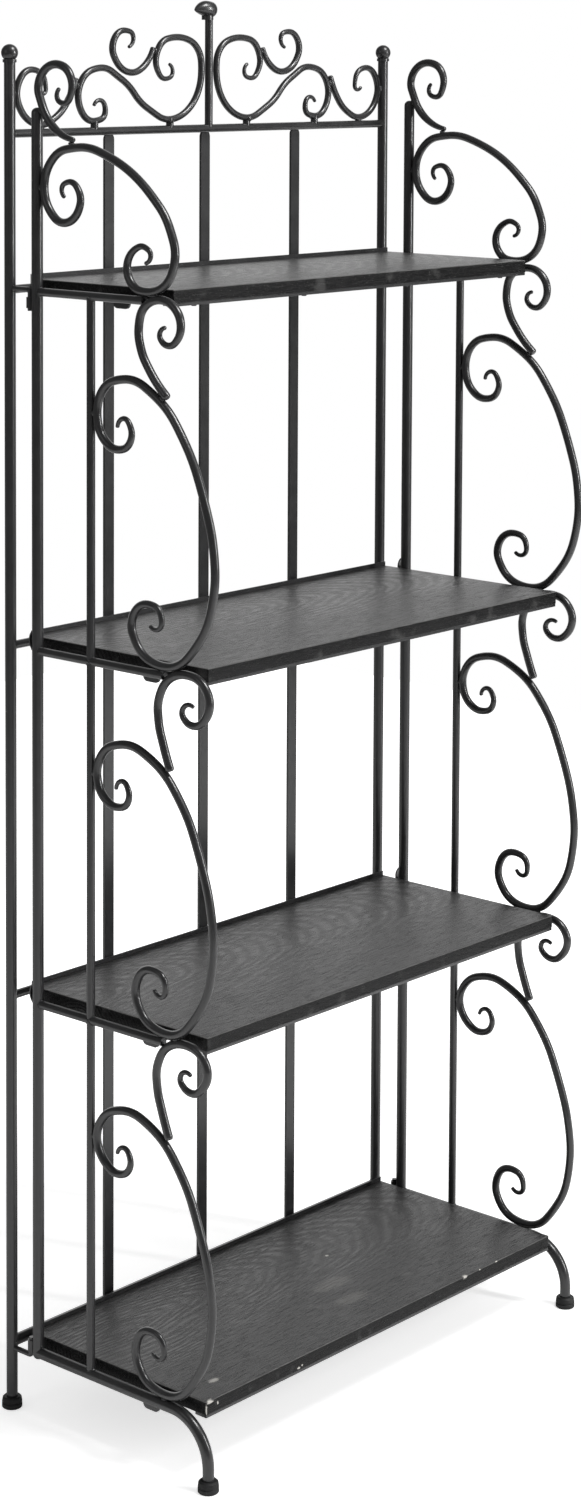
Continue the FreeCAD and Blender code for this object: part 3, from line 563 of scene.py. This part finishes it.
@dataclass
class ShelfBoard:
    """Board with eased edges, tight front corners and a few chips.

    The fields from plain_side to chip_height are multiples of ease.
    """

    level: int
    palette: Palette
    chips: list = field(default_factory=list)
    corner_radius: float = 1.5 * MM
    tight_radius: float = 0.3 * MM
    ease: float = 1.1 * MM
    ease_steps: int = 4
    corner_steps: int = 5
    step: float = 3.0 * MM
    worn: float = 0.8
    plain_side: float = 3.0
    plain_top: float = 4.0
    chip_setback: float = 2.0
    chip_height: float = 2.5
    chip_cut: tuple = (0.6, 0.5)
    chip_rag: float = 0.7

    def __post_init__(self) -> None:
        """Takes the board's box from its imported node."""
        self.low, self.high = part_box("shelf_%d_board" % self.level)

    def corner(self, x: float, y: float, radius: float, start: float) -> list:
        """Points of a quarter circle round (x, y), counter clockwise from the angle start."""
        angles = [start + 0.5 * math.pi * n / self.corner_steps for n in range(self.corner_steps + 1)]
        return [(x + radius * math.cos(angle), y + radius * math.sin(angle)) for angle in angles]

    def outline(self, inset: float) -> list:
        """Board's outline, inset from its edge.

        Args:
            inset: distance inwards.

        Returns:
            Points (x, y), counter clockwise from the rear left corner.
        """
        low, high = self.low, self.high
        left, right, front, back = low.x + inset, high.x - inset, low.y + inset, high.y - inset
        corner = max(self.tight_radius, self.corner_radius - inset)
        count = int((high.x - low.x) / self.step)
        run = (right - left - 2.0 * corner) / count
        points = [(left, back)]
        points += self.corner(left + corner, front + corner, corner, math.pi)
        points += [(left + corner + run * n, front) for n in range(1, count)]
        points += self.corner(right - corner, front + corner, corner, 1.5 * math.pi)
        points.append((right, back))
        return points

    def chip_at(self, x: float, y: float) -> float:
        """Depth of the chips at a point of the outline.

        Args:
            x: place along the board.
            y: place across it.

        Returns:
            Depth in metres, 0 away from the front edge and between the chips.
        """
        if y > self.low.y + self.chip_setback * self.ease:
            return 0.0
        depth = 0.0
        for chip in self.chips:
            reach = abs(x - chip.offset) / (0.5 * chip.length)
            if reach < 1.0:
                depth = max(depth, chip.depth * (1.0 - reach * reach))
        return depth

    def rows(self) -> list:
        """Cross-section of the board's edge.

        Returns:
            (inset, height, wear) of each row, from the lower face up to the upper one.
        """
        bottom, top = self.low.z, self.high.z
        angles = [0.5 * math.pi * n / self.ease_steps for n in range(self.ease_steps + 1)]
        rows = [(self.ease * (1.0 - math.sin(angle)), bottom + self.ease * (1.0 - math.cos(angle)), 0.0)
                for angle in angles]
        rows.append((0.0, top - self.plain_side * self.ease, 0.0))
        rows += [(self.ease * (1.0 - math.cos(angle)), top - self.ease * (1.0 - math.sin(angle)),
                  math.sin(2.0 * angle)) for angle in angles]
        rows.append((self.plain_top * self.ease, top, 0.0))
        return rows

    def build(self) -> bpy.types.Object:
        """Builds the board and puts it in the place of its node.

        Returns:
            The new piece.
        """
        node = "shelf_%d_board" % self.level
        shape = bmesh.new()
        wear = shape.verts.layers.float.new("edge_wear")
        chipped = shape.verts.layers.float.new("chip")
        rings = []
        noise = random.Random(self.level)
        chips_from = self.high.z - self.chip_height * self.ease
        for inset, z, rubbed in self.rows():
            ring = []
            for x, y in self.outline(inset):
                depth = self.chip_at(x, y) if z > chips_from else 0.0
                depth *= noise.uniform(self.chip_rag, 1.0)
                vert = shape.verts.new((x, y + self.chip_cut[0] * depth, z - self.chip_cut[1] * depth))
                vert[wear] = rubbed * self.worn
                vert[chipped] = 1.0 if depth > 0.0 else 0.0
                ring.append(vert)
            rings.append(ring)
        skin_rings(shape, rings)
        piece = to_object(node + "_stained", shape)
        self.palette.dress(piece, Slot.WOOD)
        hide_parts(node)
        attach(piece, "shelf_%d" % self.level)
        return piece


# ---- scroll rods -------------------------------------------------------------


@dataclass(frozen=True)
class ScrollShape:
    """Centre line of a scroll rod in its panel, and how its ends are drawn down, in millimetres.

    A draw is the length over which an end gets thinner, a tip its thickness at the very end, and
    last_reach how far the last end runs on over the bar that it is welded to.
    """

    points: tuple
    diameter: float = 9.5
    first_draw: float = 85.0
    first_tip: float = 4.4
    last_draw: float = 85.0
    last_tip: float = 4.4
    last_reach: float = 0.0


TOP_SCROLL = ScrollShape(
    first_draw=75.0, last_draw=45.0, last_tip=5.6, last_reach=5.0,
    points=(
        (34.8, 220.0), (30.8, 211.0), (42.3, 204.0), (53.8, 219.0), (49.3, 237.5),
        (30.8, 246.0), (10.3, 238.5), (1.8, 221.0), (6.8, 204.0), (17.8, 185.5),
        (32.8, 173.0), (52.8, 165.5)))
C_SCROLLS = tuple(ScrollShape(points) for points in (
    (
        (42.3, 104.5), (37.8, 114.0), (48.8, 121.5), (65.8, 108.5), (62.3, 89.0),
        (40.3, 77.0), (16.8, 93.0), (11.1, 121.5), (27.8, 149.0), (62.8, 159.0),
        (121.8, 145.5), (168.8, 115.5), (198.8, 80.5), (207.8, 46.5), (195.3, 19.5),
        (168.8, 9.5), (145.8, 15.5), (137.3, 33.5), (146.8, 52.0), (163.3, 56.5),
        (172.3, 48.0), (164.0, 39.5)),
    (
        (40.3, 257.9), (48.4, 268.4), (60.9, 257.4), (57.4, 241.4), (38.9, 234.4),
        (17.4, 246.4), (9.5, 269.4), (19.9, 298.9), (52.9, 310.9), (103.4, 291.4),
        (143.9, 244.4), (167.4, 193.4), (180.9, 146.4), (182.9, 100.4), (163.4, 44.9),
        (116.9, 9.6), (69.9, 27.4), (61.9, 49.4), (83.9, 72.9), (104.9, 64.4),
        (102.4, 48.4), (89.1, 50.4)),
    (
        (38.9, 262.3), (46.4, 272.8), (57.9, 262.3), (55.4, 249.8), (39.4, 243.3),
        (17.9, 252.8), (9.5, 275.3), (19.4, 300.3), (49.9, 313.3), (98.9, 299.3),
        (139.9, 257.3), (163.9, 207.3), (178.9, 157.3), (182.9, 107.3), (166.4, 49.3),
        (117.4, 9.8), (76.9, 25.3), (68.4, 49.3), (89.9, 74.8), (112.9, 62.8),
        (107.9, 48.8), (96.4, 54.8)),
    (
        (40.9, 256.0), (49.9, 265.0), (60.9, 253.5), (57.4, 241.0), (42.4, 234.0),
        (19.9, 244.0), (9.5, 268.0), (20.9, 293.0), (51.9, 306.5), (98.9, 294.0),
        (140.9, 251.0), (164.4, 202.0), (178.9, 155.0), (182.9, 107.0), (167.9, 51.0),
        (119.4, 8.5), (77.4, 23.0), (69.4, 46.5), (88.4, 71.5), (110.9, 62.0),
        (107.4, 45.5), (94.9, 49.0)),
))
S_SCROLLS = tuple(
    ScrollShape(points, first_draw=75.0, last_draw=0.0, last_tip=9.5, last_reach=6.0) for points in (
    (
        (111.9, -28.0), (102.9, -36.5), (107.9, -45.0), (117.9, -47.5), (129.9, -38.5),
        (133.4, -20.0), (120.4, -2.0), (100.4, 2.0), (79.9, -8.0), (71.9, -32.5),
        (76.4, -56.5), (89.9, -79.0), (110.4, -101.5)),
    (
        (153.9, -29.1), (144.4, -27.6), (136.9, -37.1), (143.4, -47.1), (155.9, -49.6),
        (170.4, -40.1), (176.9, -21.6), (167.4, -2.1), (139.9, 5.4), (115.9, -4.6),
        (102.4, -28.6), (102.9, -55.6), (110.4, -80.6), (117.9, -100.6)),
    (
        (151.4, -27.2), (141.4, -24.7), (135.4, -34.2), (141.9, -44.2), (154.4, -47.2),
        (168.9, -36.7), (175.4, -18.2), (166.4, 0.8), (139.9, 8.3), (114.9, -2.2),
        (101.4, -27.2), (101.9, -56.7), (108.9, -81.7), (117.4, -106.2)),
))
CREST_S_SCROLL = ScrollShape(
    diameter=8.0, first_draw=80.0, first_tip=4.0, last_draw=60.0, last_tip=4.0,
    points=(
        (67.5, 75.5), (61.5, 65.5), (74.0, 58.5), (88.0, 71.5), (84.5, 94.5),
        (51.0, 106.5), (18.0, 91.5), (13.0, 63.0), (31.0, 26.0), (66.0, 11.5),
        (105.0, 26.0), (144.0, 57.5), (178.0, 71.5), (207.5, 59.5), (214.5, 36.0),
        (189.0, 11.5), (172.0, 20.5), (181.0, 35.0), (190.0, 28.5)))
CREST_END_SCROLL = ScrollShape(
    diameter=8.0, first_draw=12.0, first_tip=7.0, last_draw=75.0, last_tip=4.0,
    points=(
        (217.5, 61.0), (227.0, 40.5), (246.0, 19.5), (275.0, 9.5), (301.5, 24.0),
        (308.5, 50.0), (287.0, 70.5), (266.0, 57.5), (268.5, 43.5), (277.0, 47.0)))
CREST_UPPER_SCROLL = ScrollShape(
    diameter=8.0, first_draw=30.0, first_tip=6.0, last_draw=60.0, last_tip=4.0,
    points=(
        (94.0, 95.0), (104.5, 77.0), (129.0, 66.0), (152.5, 77.0), (160.0, 97.0),
        (142.0, 114.0), (126.5, 106.5), (134.5, 95.0)))


def direction_at(before: complex, spot: complex, after: complex) -> complex:
    """Direction at the middle one of three points on a circle.

    Args:
        before: first point.
        spot: middle point.
        after: last point.

    Returns:
        Unit direction.
    """
    first, second = spot - before, after - spot
    blend = first * abs(second) / abs(first) + second * abs(first) / abs(second)
    return blend / abs(blend)


def far_direction(direction: complex, chord: complex) -> complex:
    """Direction at the far end of an arc that starts along direction and spans chord."""
    along = chord / abs(chord)
    return along * along * direction.conjugate()


def meeting_point(start: complex, start_way: complex, end: complex, end_way: complex) -> complex:
    """Point where two tangent arcs from start to end meet.

    Args:
        start: first point.
        start_way: unit direction at the start.
        end: last point.
        end_way: unit direction at the end.

    Returns:
        The meeting point.
    """
    chord, both = end - start, start_way + end_way
    bend = 2.0 * (1.0 - (start_way * end_way.conjugate()).real)
    reach = (chord * both.conjugate()).real
    if bend < STRAIGHT_BEND:
        length = abs(chord) ** 2 / (2.0 * reach)
    else:
        length = (math.sqrt(reach * reach + bend * abs(chord) ** 2) - reach) / bend
    return (start + end + (start_way - end_way) * length) * 0.5


def arc_points(start: complex, way: complex, end: complex, step: float) -> list:
    """Points along the arc that leaves start along way, without its start.

    Args:
        start: first point.
        way: unit direction at the start.
        end: last point.
        step: greatest distance between the points.

    Returns:
        Points up to and with the end.
    """
    chord = end - start
    turn = cmath.phase(chord / way)
    if abs(turn) < STRAIGHT_TURN:
        count = max(1, math.ceil(abs(chord) / step))
        return [start + chord * (n + 1) / count for n in range(count)]
    curvature = 2.0 * math.sin(turn) / abs(chord)
    count = max(2, math.ceil(abs(2.0 * turn / curvature) / step))
    return [start + way * (cmath.exp(2j * turn * (n + 1) / count) - 1.0) / (1j * curvature)
            for n in range(count)]


def centre_line(points: tuple, step: float = 1.6) -> list:
    """Smooth line of tangent arcs through the points.

    Args:
        points: pairs in millimetres.
        step: greatest distance between the points of the result.

    Returns:
        Complex numbers along the line.
    """
    spots = [complex(*pair) for pair in points]
    ways = [direction_at(*spots[n - 1:n + 2]) for n in range(1, len(spots) - 1)]
    ways.insert(0, -far_direction(-ways[0], spots[0] - spots[1]))
    ways.append(far_direction(ways[-1], spots[-1] - spots[-2]))
    line = [spots[0]]
    for n in range(len(spots) - 1):
        if 0 < n < len(spots) - 2:
            middle = meeting_point(spots[n], ways[n], spots[n + 1], ways[n + 1])
            line += arc_points(spots[n], ways[n], middle, step)
            line += arc_points(middle, far_direction(ways[n], middle - spots[n]), spots[n + 1], step)
        else:
            line += arc_points(spots[n], ways[n], spots[n + 1], step)
    return line


def solid_boxes(node: str) -> list:
    """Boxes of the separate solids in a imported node.

    Args:
        node: node name.

    Returns:
        (lowest corner, highest corner) of each solid, highest solid first.
    """
    shape = bmesh.new()
    shape.from_mesh(frame["nodes"][node].data)
    bmesh.ops.remove_doubles(shape, verts=shape.verts, dist=SAME_SPOT)
    waiting, boxes = set(shape.verts), []
    for first in shape.verts:
        if first not in waiting:
            continue
        waiting.discard(first)
        front, corners = [first], []
        while front:
            vert = front.pop()
            corners.append(vert.co)
            for edge in vert.link_edges:
                other = edge.other_vert(vert)
                if other in waiting:
                    waiting.discard(other)
                    front.append(other)
        boxes.append((Vector(min(c[n] for c in corners) for n in range(3)),
                      Vector(max(c[n] for c in corners) for n in range(3))))
    shape.free()
    return sorted(boxes, key=lambda box: -box[1].z)


@dataclass
class ScrollRod:
    """Round rod along a scroll's centre line, thinner towards its ends.

    Each end is rounded over cap_share of its tip, down to end_share of its radius at the end face.
    """

    shape: ScrollShape
    box: tuple
    axis: Axis
    flipped: bool
    sides: int = 20
    end_rings: int = 5
    draw_power: float = 1.5
    cap_share: float = 0.35
    end_share: float = 0.45

    def spots(self) -> list:
        """Centre line in the part's frame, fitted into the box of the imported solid.

        Returns:
            Vectors along the centre line.
        """
        line = centre_line(self.shape.points)
        low, high = self.box
        thick = 0.5 * self.shape.diameter * MM
        across, up = [spot.real for spot in line], [spot.imag for spot in line]
        run = (low[self.axis] + thick, high[self.axis] - thick)
        if self.flipped:
            run = run[::-1]
        rise = (low.z + thick, high.z - thick)
        level = 0.5 * (low + high)
        fitted = []
        for spot in line:
            point = level.copy()
            share = (spot.real - min(across)) / (max(across) - min(across))
            point[self.axis] = run[0] + (run[1] - run[0]) * share
            share = (spot.imag - min(up)) / (max(up) - min(up))
            point.z = rise[0] + (rise[1] - rise[0]) * share
            fitted.append(point)
        if self.shape.last_reach > 0.0:
            fitted.append(fitted[-1] + (fitted[-1] - fitted[-3]).normalized() * self.shape.last_reach * MM)
        return fitted

    def radius_at(self, from_first: float, from_last: float) -> float:
        """Rod's radius.

        Args:
            from_first: metres along the rod from its first end.
            from_last: metres along the rod from its last end.

        Returns:
            Radius in metres, round over the last bit of each end.
        """
        full = 0.5 * self.shape.diameter * MM
        size = full
        for along, draw, tip in ((from_first, self.shape.first_draw, self.shape.first_tip),
                                 (from_last, self.shape.last_draw, self.shape.last_tip)):
            least = 0.5 * tip * MM
            if along < draw * MM:
                share = along / (draw * MM)
                size = min(size, least + (full - least) * (1.0 - (1.0 - share) ** self.draw_power))
            cap = self.cap_share * tip * MM
            if along < cap:
                bulge = math.sqrt(max(0.0, 1.0 - (1.0 - along / cap) ** 2))
                size *= self.end_share + (1.0 - self.end_share) * bulge
        return size

    def add_to(self, target: bmesh.types.BMesh) -> None:
        """Adds the rod's skin to a mesh.

        Args:
            target: mesh that takes the faces.
        """
        line = self.spots()
        lengths = [0.0]
        for before, after in zip(line, line[1:]):
            lengths.append(lengths[-1] + (after - before).length)
        total = lengths[-1]
        stations = set(lengths)
        for tip in (self.shape.first_tip, self.shape.last_tip):
            for n in range(1, self.end_rings + 1):
                back = self.cap_share * tip * MM * (n / self.end_rings) ** 2
                stations |= {back, total - back}
        side = Vector((0.0, 0.0, 0.0))
        side[1 - self.axis] = 1.0
        rings, piece = [], 0
        for along in sorted(stations):
            while piece < len(lengths) - 2 and lengths[piece + 1] < along:
                piece += 1
            share = (along - lengths[piece]) / (lengths[piece + 1] - lengths[piece])
            centre = line[piece].lerp(line[piece + 1], share)
            before = line[max(0, piece - 1)] if share < 0.5 else line[piece]
            after = line[piece + 1] if share < 0.5 else line[min(len(line) - 1, piece + 2)]
            ahead = (after - before).normalized()
            out = ahead.cross(side)
            size = self.radius_at(along, total - along)
            rings.append([target.verts.new(centre + (out * math.cos(angle) + side * math.sin(angle)) * size)
                          for angle in full_turn(self.sides)])
        skin_rings(target, rings)


@dataclass
class ScrollWork:
    """Every scroll rod of the rack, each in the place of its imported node."""

    palette: Palette
    rods: list = field(default_factory=list)

    def place(self, node: str, body: str, shapes: tuple, axis: Axis) -> None:
        """Replaces a node by drawn down rods.

        Args:
            node: node name.
            body: body that carries it.
            shapes: one shape for each solid of the node, from the highest down.
            axis: horizontal axis of the panel.
        """
        target = bmesh.new()
        for shape, box in zip(shapes, solid_boxes(node)):
            flipped = axis == Axis.Y or box[0].x < 0.0
            rod = ScrollRod(shape, box, axis, flipped)
            rod.add_to(target)
            self.rods.append((body, node, rod))
        piece = to_object(node + "_forged", target, smooth_angle=50.0)
        self.palette.dress(piece, Slot.STEEL)
        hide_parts(node)
        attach(piece, body)
        LOG.info("scrolls %s", piece.name)

    def build(self) -> None:
        """Builds the scroll work of both side panels and of the crest."""
        for side in ("left", "right"):
            body = side + "_side"
            self.place(side + "_top_scroll", body, (TOP_SCROLL,), Axis.Y)
            for number, shape in enumerate(C_SCROLLS, 1):
                self.place("%s_c_scroll_%d" % (side, number), body, (shape,), Axis.Y)
            self.place(side + "_s_scrolls", body, S_SCROLLS, Axis.Y)
        for node, shape in (("crest_s_scrolls", CREST_S_SCROLL), ("crest_end_scrolls", CREST_END_SCROLL),
                            ("crest_upper_scrolls", CREST_UPPER_SCROLL)):
            self.place(node, "back_panel", (shape, shape), Axis.X)


# ---- welds ------------------------------------------------------------------


@dataclass(frozen=True)
class BarEnds:
    """Bars of a node whose ends are coped onto round posts or rails."""

    node: str
    body: str
    axis: Axis
    post_axis: Axis
    post_radii: tuple


@dataclass
class Welds:
    """Beads where scroll rods touch their neighbours, and collars round the ends of straight bars.

    A bead's three radii run along the joint, across it and through it. Bars no farther apart than
    touching get one, unless the other bar comes nearer to the rod's centre line than the share
    buried of the rod's radius. The lumps are the shares between which bead and collar radii vary.
    """

    palette: Palette
    rods: list
    air: float = 0.1 * MM
    touching: float = 0.45 * MM
    spacing: float = 24.0 * MM
    bead: tuple = (4.2 * MM, 2.3 * MM, 3.9 * MM)
    collar: float = 1.0 * MM
    post_radius: float = 6.35 * MM
    rail_radius: float = 4.75 * MM
    sides: int = 10
    collar_steps: int = 28
    collar_sides: int = 6
    buried: float = 0.5
    blunt: float = 0.15
    bead_lumps: tuple = (0.88, 1.0)
    collar_lumps: tuple = (0.75, 1.0)
    seed: int = 12

    def __post_init__(self) -> None:
        """Starts the pieces and the seeded lumps."""
        self.noise = random.Random(self.seed)
        self.meshes = {body: bmesh.new() for body in ("back_panel", "left_side", "right_side")}
        self.places = {body: [] for body in self.meshes}

    def add_bead(self, target: bmesh.types.BMesh, centre: Vector, along: Vector, across: Vector) -> None:
        """Adds a lumpy bead.

        Args:
            target: mesh that takes it.
            centre: middle of the bead.
            along: unit vector along the joint.
            across: unit vector from one bar to the other.
        """
        through = along.cross(across)
        rings = []
        for n in range(self.sides + 1):
            turn = math.pi * (n + self.blunt) / (self.sides + 2.0 * self.blunt)
            ring = []
            for angle in full_turn(self.sides):
                spot = along * (self.bead[0] * math.cos(turn))
                spot += across * (self.bead[1] * math.cos(angle) * math.sin(turn))
                spot += through * (self.bead[2] * math.sin(angle) * math.sin(turn))
                ring.append(target.verts.new(centre + spot * self.noise.uniform(*self.bead_lumps)))
            rings.append(ring)
        skin_rings(target, rings)

    def neighbours(self, body: str, own: str) -> list:
        """Search trees of the steel bars that a scroll of the body may touch.

        Args:
            body: body of the scroll.
            own: the scroll's own node.

        Returns:
            One tree for each other steel node of the body, without its hinges and the shelves.
        """
        trees = []
        for row in frame["record"]["subparts"]:
            node = row["node"]
            side = node.split("_")[0]
            home = side + "_side" if side in ("left", "right") else "back_panel"
            fitting = node.startswith("shelf") or "hinge" in node
            if home != body or node == own or fitting or Slot(row["material_slot"]) != Slot.STEEL:
                continue
            mesh = frame["nodes"][node].data
            trees.append(BVHTree.FromPolygons([vert.co for vert in mesh.vertices],
                                              [face.vertices for face in mesh.polygons]))
        return trees

    def weld_rod(self, body: str, node: str, rod: ScrollRod) -> None:
        """Puts a bead at each place where a rod touches another bar.

        Args:
            body: body that carries the rod.
            node: the rod's node.
            rod: the rod.
        """
        thick = 0.5 * rod.shape.diameter * MM
        line = rod.spots()
        touches = []
        for tree in self.neighbours(body, node):
            for n in range(1, len(line) - 1):
                place, _, _, gap = tree.find_nearest(line[n], thick + self.touching)
                if place is not None:
                    touches.append((gap, n, place))
        for gap, n, place in sorted(touches, key=lambda touch: touch[0]):
            close = any((place - other).length < self.spacing for other in self.places[body])
            if close or gap < self.buried * thick:
                continue
            self.places[body].append(place)
            along = (line[n + 1] - line[n - 1]).normalized()
            across = (place - line[n]).normalized()
            across = (across - along * across.dot(along)).normalized()
            self.add_bead(self.meshes[body], place, along, across)

    def add_collar(self, target: bmesh.types.BMesh, centre: Vector, ahead: Vector, upright: Vector,
                   radii: tuple) -> None:
        """Adds the collar round the end of a bar that is coped onto a post.

        Args:
            target: mesh that takes it.
            centre: point of the post's axis that the bar points at.
            ahead: unit vector along the bar, towards the post.
            upright: unit vector along the post.
            radii: radius of the bar and of the post.
        """
        bar, post = radii
        side = ahead.cross(upright)
        rings = []
        for angle in full_turn(self.collar_steps):
            radial = upright * math.cos(angle) + side * math.sin(angle)
            back = math.sqrt(max(0.0, post * post - (bar * math.sin(angle)) ** 2))
            size = self.collar * self.noise.uniform(*self.collar_lumps)
            seat = centre + radial * bar - ahead * back
            rings.append([target.verts.new(seat + (radial * math.cos(turn) + ahead * math.sin(turn)) * size)
                          for turn in full_turn(self.collar_sides)])
        skin_rings(target, rings, capped=False)

    def collars(self, bars: BarEnds) -> None:
        """Adds collars to the ends of every bar of a node.

        Args:
            bars: the node, its axes, and for each bar the post's radius at its low and high end.
        """
        ways = (Vector((1.0, 0.0, 0.0)), Vector((0.0, 1.0, 0.0)), Vector((0.0, 0.0, 1.0)))
        for (low, high), posts in zip(solid_boxes(bars.node), bars.post_radii):
            bar = 0.5 * min(high[n] - low[n] for n in range(3) if n != bars.axis)
            for post, ahead, end in ((posts[0], -ways[bars.axis], low), (posts[1], ways[bars.axis], high)):
                if post is None:
                    continue
                centre = 0.5 * (low + high)
                centre.z = high.z - bar
                reach = math.sqrt((post + self.air) ** 2 - bar * bar)
                centre[bars.axis] = end[bars.axis] + ahead[bars.axis] * reach
                self.add_collar(self.meshes[bars.body], centre, ahead, ways[bars.post_axis], (bar, post))

    def build(self) -> None:
        """Adds every weld and makes one piece for each body."""
        post, rail = self.post_radius, self.rail_radius
        self.collars(BarEnds("cross_rails", "back_panel", Axis.X, Axis.Z, ((post, post),) * 4))
        self.collars(BarEnds("top_rail", "back_panel", Axis.X, Axis.Z, ((post, post),)))
        for side in ("left", "right"):
            self.collars(BarEnds(side + "_side_rails", side + "_side", Axis.Y, Axis.Z, ((None, post),) * 3))
            self.collars(BarEnds(side + "_mid_upright", side + "_side", Axis.Z, Axis.Y,
                                 ((rail, rail), (rail, rail), (post, rail))))
        for body, node, rod in self.rods:
            self.weld_rod(body, node, rod)
        for body, shape in self.meshes.items():
            piece = to_object(body + "_welds", shape, smooth_angle=60.0)
            self.palette.dress(piece, Slot.STEEL)
            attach(piece, body)
            LOG.info("welds %s: %d beads", piece.name, len(self.places[body]))


# ---- studio -----------------------------------------------------------------


@dataclass(frozen=True)
class Lamp:
    """Soft box that points at the rack's middle, in metres and watts."""

    name: str
    place: tuple
    width: float
    height: float
    power: float


@dataclass
class Studio:
    """Camera, soft boxes, white surround and pale floor.

    Places and sizes are in metres, angles in degrees, lens and sensor in millimetres.
    """

    lens: float = 72.78
    sensor: float = 36.0
    farthest: float = 100.0
    shift_y: float = -0.324
    camera_place: tuple = (-2.6119, -2.2816, 1.5439)
    heading: float = -48.585
    dip: float = 4.224
    roll: float = 0.281
    floor_size: float = 6.0
    floor_colour: tuple = (0.93, 0.93, 0.93, 1.0)
    floor_roughness: float = 0.9
    white: tuple = (1.0, 1.0, 1.0, 1.0)
    surround: float = 0.38
    dark_room: float = 0.12
    backdrop_way: tuple = (0.75, 0.66, 0.10)
    backdrop_rim: tuple = (0.74, 0.90)
    shadow_rim: tuple = (0.7, 1.68)
    near_glow: float = 0.62
    mirrored_glow: float = 0.1
    middle: tuple = (0.0, 0.0, 0.85)
    lamps: tuple = (
        Lamp("strip_soft_box", place=(1.45, -3.1, 1.75), width=0.22, height=1.8, power=56.0),
        Lamp("key_soft_box", place=(0.5, -1.7, 3.9), width=1.1, height=1.1, power=80.0),
        Lamp("fill_soft_box", place=(-3.2, 0.6, 2.2), width=1.2, height=1.6, power=4.0),
    )

    def camera(self) -> None:
        """Makes the scene's camera."""
        heading, dip, roll = (math.radians(part) for part in (self.heading, self.dip, self.roll))
        ahead = Vector((-math.sin(heading) * math.cos(dip), math.cos(heading) * math.cos(dip),
                        -math.sin(dip)))
        right = ahead.cross(Vector((0.0, 0.0, 1.0))).normalized()
        up = right.cross(ahead)
        turned = right * math.cos(roll) + up * math.sin(roll)
        raised = turned.cross(ahead)
        basis = Matrix((turned, raised, -ahead)).transposed().to_4x4()
        data = bpy.data.cameras.new("view_camera")
        data.sensor_width = self.sensor
        data.lens = self.lens
        data.shift_y = self.shift_y
        data.clip_end = self.farthest
        camera = bpy.data.objects.new("view_camera", data)
        camera.matrix_world = Matrix.Translation(self.camera_place) @ basis
        bpy.context.scene.collection.objects.link(camera)
        bpy.context.scene.camera = camera

    def light(self) -> None:
        """Hangs the soft boxes."""
        for lamp in self.lamps:
            data = bpy.data.lights.new(lamp.name, "AREA")
            data.shape = "RECTANGLE"
            data.size = lamp.width
            data.size_y = lamp.height
            data.energy = lamp.power
            box = bpy.data.objects.new(lamp.name, data)
            box.location = lamp.place
            towards = Vector(self.middle) - Vector(lamp.place)
            box.rotation_euler = towards.to_track_quat("-Z", "Y").to_euler()
            bpy.context.scene.collection.objects.link(box)

    @staticmethod
    def mirrored(tree: Tree, rays: bpy.types.Node) -> Socket:
        """1 for the rays that metal and glass send out, told by a Light Path node."""
        return tree.maths("MAXIMUM", rays.outputs["Is Glossy Ray"], rays.outputs["Is Transmission Ray"])

    def surroundings(self) -> None:
        """White for the camera, a white backdrop in a dim room for reflections, soft for the light itself."""
        world = bpy.data.worlds.new("white_surround")
        bpy.context.scene.world = world
        world.use_nodes = True
        world.node_tree.nodes.clear()
        tree = Tree(world.node_tree)
        rays = tree.add("LightPath")
        around = tree.add("TexCoord").outputs["Generated"]
        facing = tree.add("VectorMath", {0: around, 1: self.backdrop_way}, operation="DOT_PRODUCT")
        room = tree.ramp(facing.outputs["Value"], *self.backdrop_rim, self.dark_room, 1.0)
        mirrored = self.mirrored(tree, rays)
        soft = tree.times(tree.maths("SUBTRACT", 1.0, mirrored), self.surround)
        light = tree.plus(soft, tree.times(mirrored, room))
        strength = tree.maths("MAXIMUM", light, rays.outputs["Is Camera Ray"])
        back = tree.add("Background", {"Color": self.white, "Strength": strength})
        tree.add("OutputWorld", {"Surface": back.outputs[0]})

    def floor(self) -> None:
        """Lays the pale floor, which turns as white as the surround away from the rack."""
        material, tree, shader = blank("pale_floor")
        rays = tree.add("LightPath")
        reach = tree.length(tree.add("TexCoord").outputs["Object"])
        glow = tree.ramp(reach, *self.shadow_rim, self.near_glow, 1.0)
        mirrored = tree.times(self.mirrored(tree, rays), self.mirrored_glow)
        seen = tree.maths("MAXIMUM", rays.outputs["Is Camera Ray"], mirrored)
        tree.fill(shader, {"Base Color": self.floor_colour, "Roughness": self.floor_roughness,
                           "Emission Color": self.white, "Emission Strength": tree.times(glow, seen)})
        shape = bmesh.new()
        half = 0.5 * self.floor_size
        corners = ((-half, -half), (half, -half), (half, half), (-half, half))
        shape.faces.new([shape.verts.new((x, y, 0.0)) for x, y in corners])
        ground = to_object("studio_floor", shape)
        ground.data.materials.append(material)

    def build(self) -> None:
        """Sets up the whole studio."""
        bpy.context.scene.view_settings.view_transform = "Standard"
        self.camera()
        self.light()
        self.surroundings()
        self.floor()


# ---- the rack ---------------------------------------------------------------


SHELF_COUNT = 4
SHELF_CHIPS = {4: [Chip(offset=-0.301, length=0.008, depth=0.0012),
                   Chip(offset=0.1423, length=0.005, depth=0.0008)]}


def main() -> None:
    """Builds the studio, then dresses the rack piece by piece."""
    logging.basicConfig(level=logging.INFO, format="%(message)s")
    Studio().build()
    palette = Palette()
    palette.dress_nodes()
    scrolls = ScrollWork(palette)
    scrolls.build()
    Welds(palette, scrolls.rods).build()
    for level in range(1, SHELF_COUNT + 1):
        piece = ShelfBoard(level, palette, SHELF_CHIPS.get(level, [])).build()
        LOG.info("board %s", piece.name)


if __name__ == "__main__":
    main()
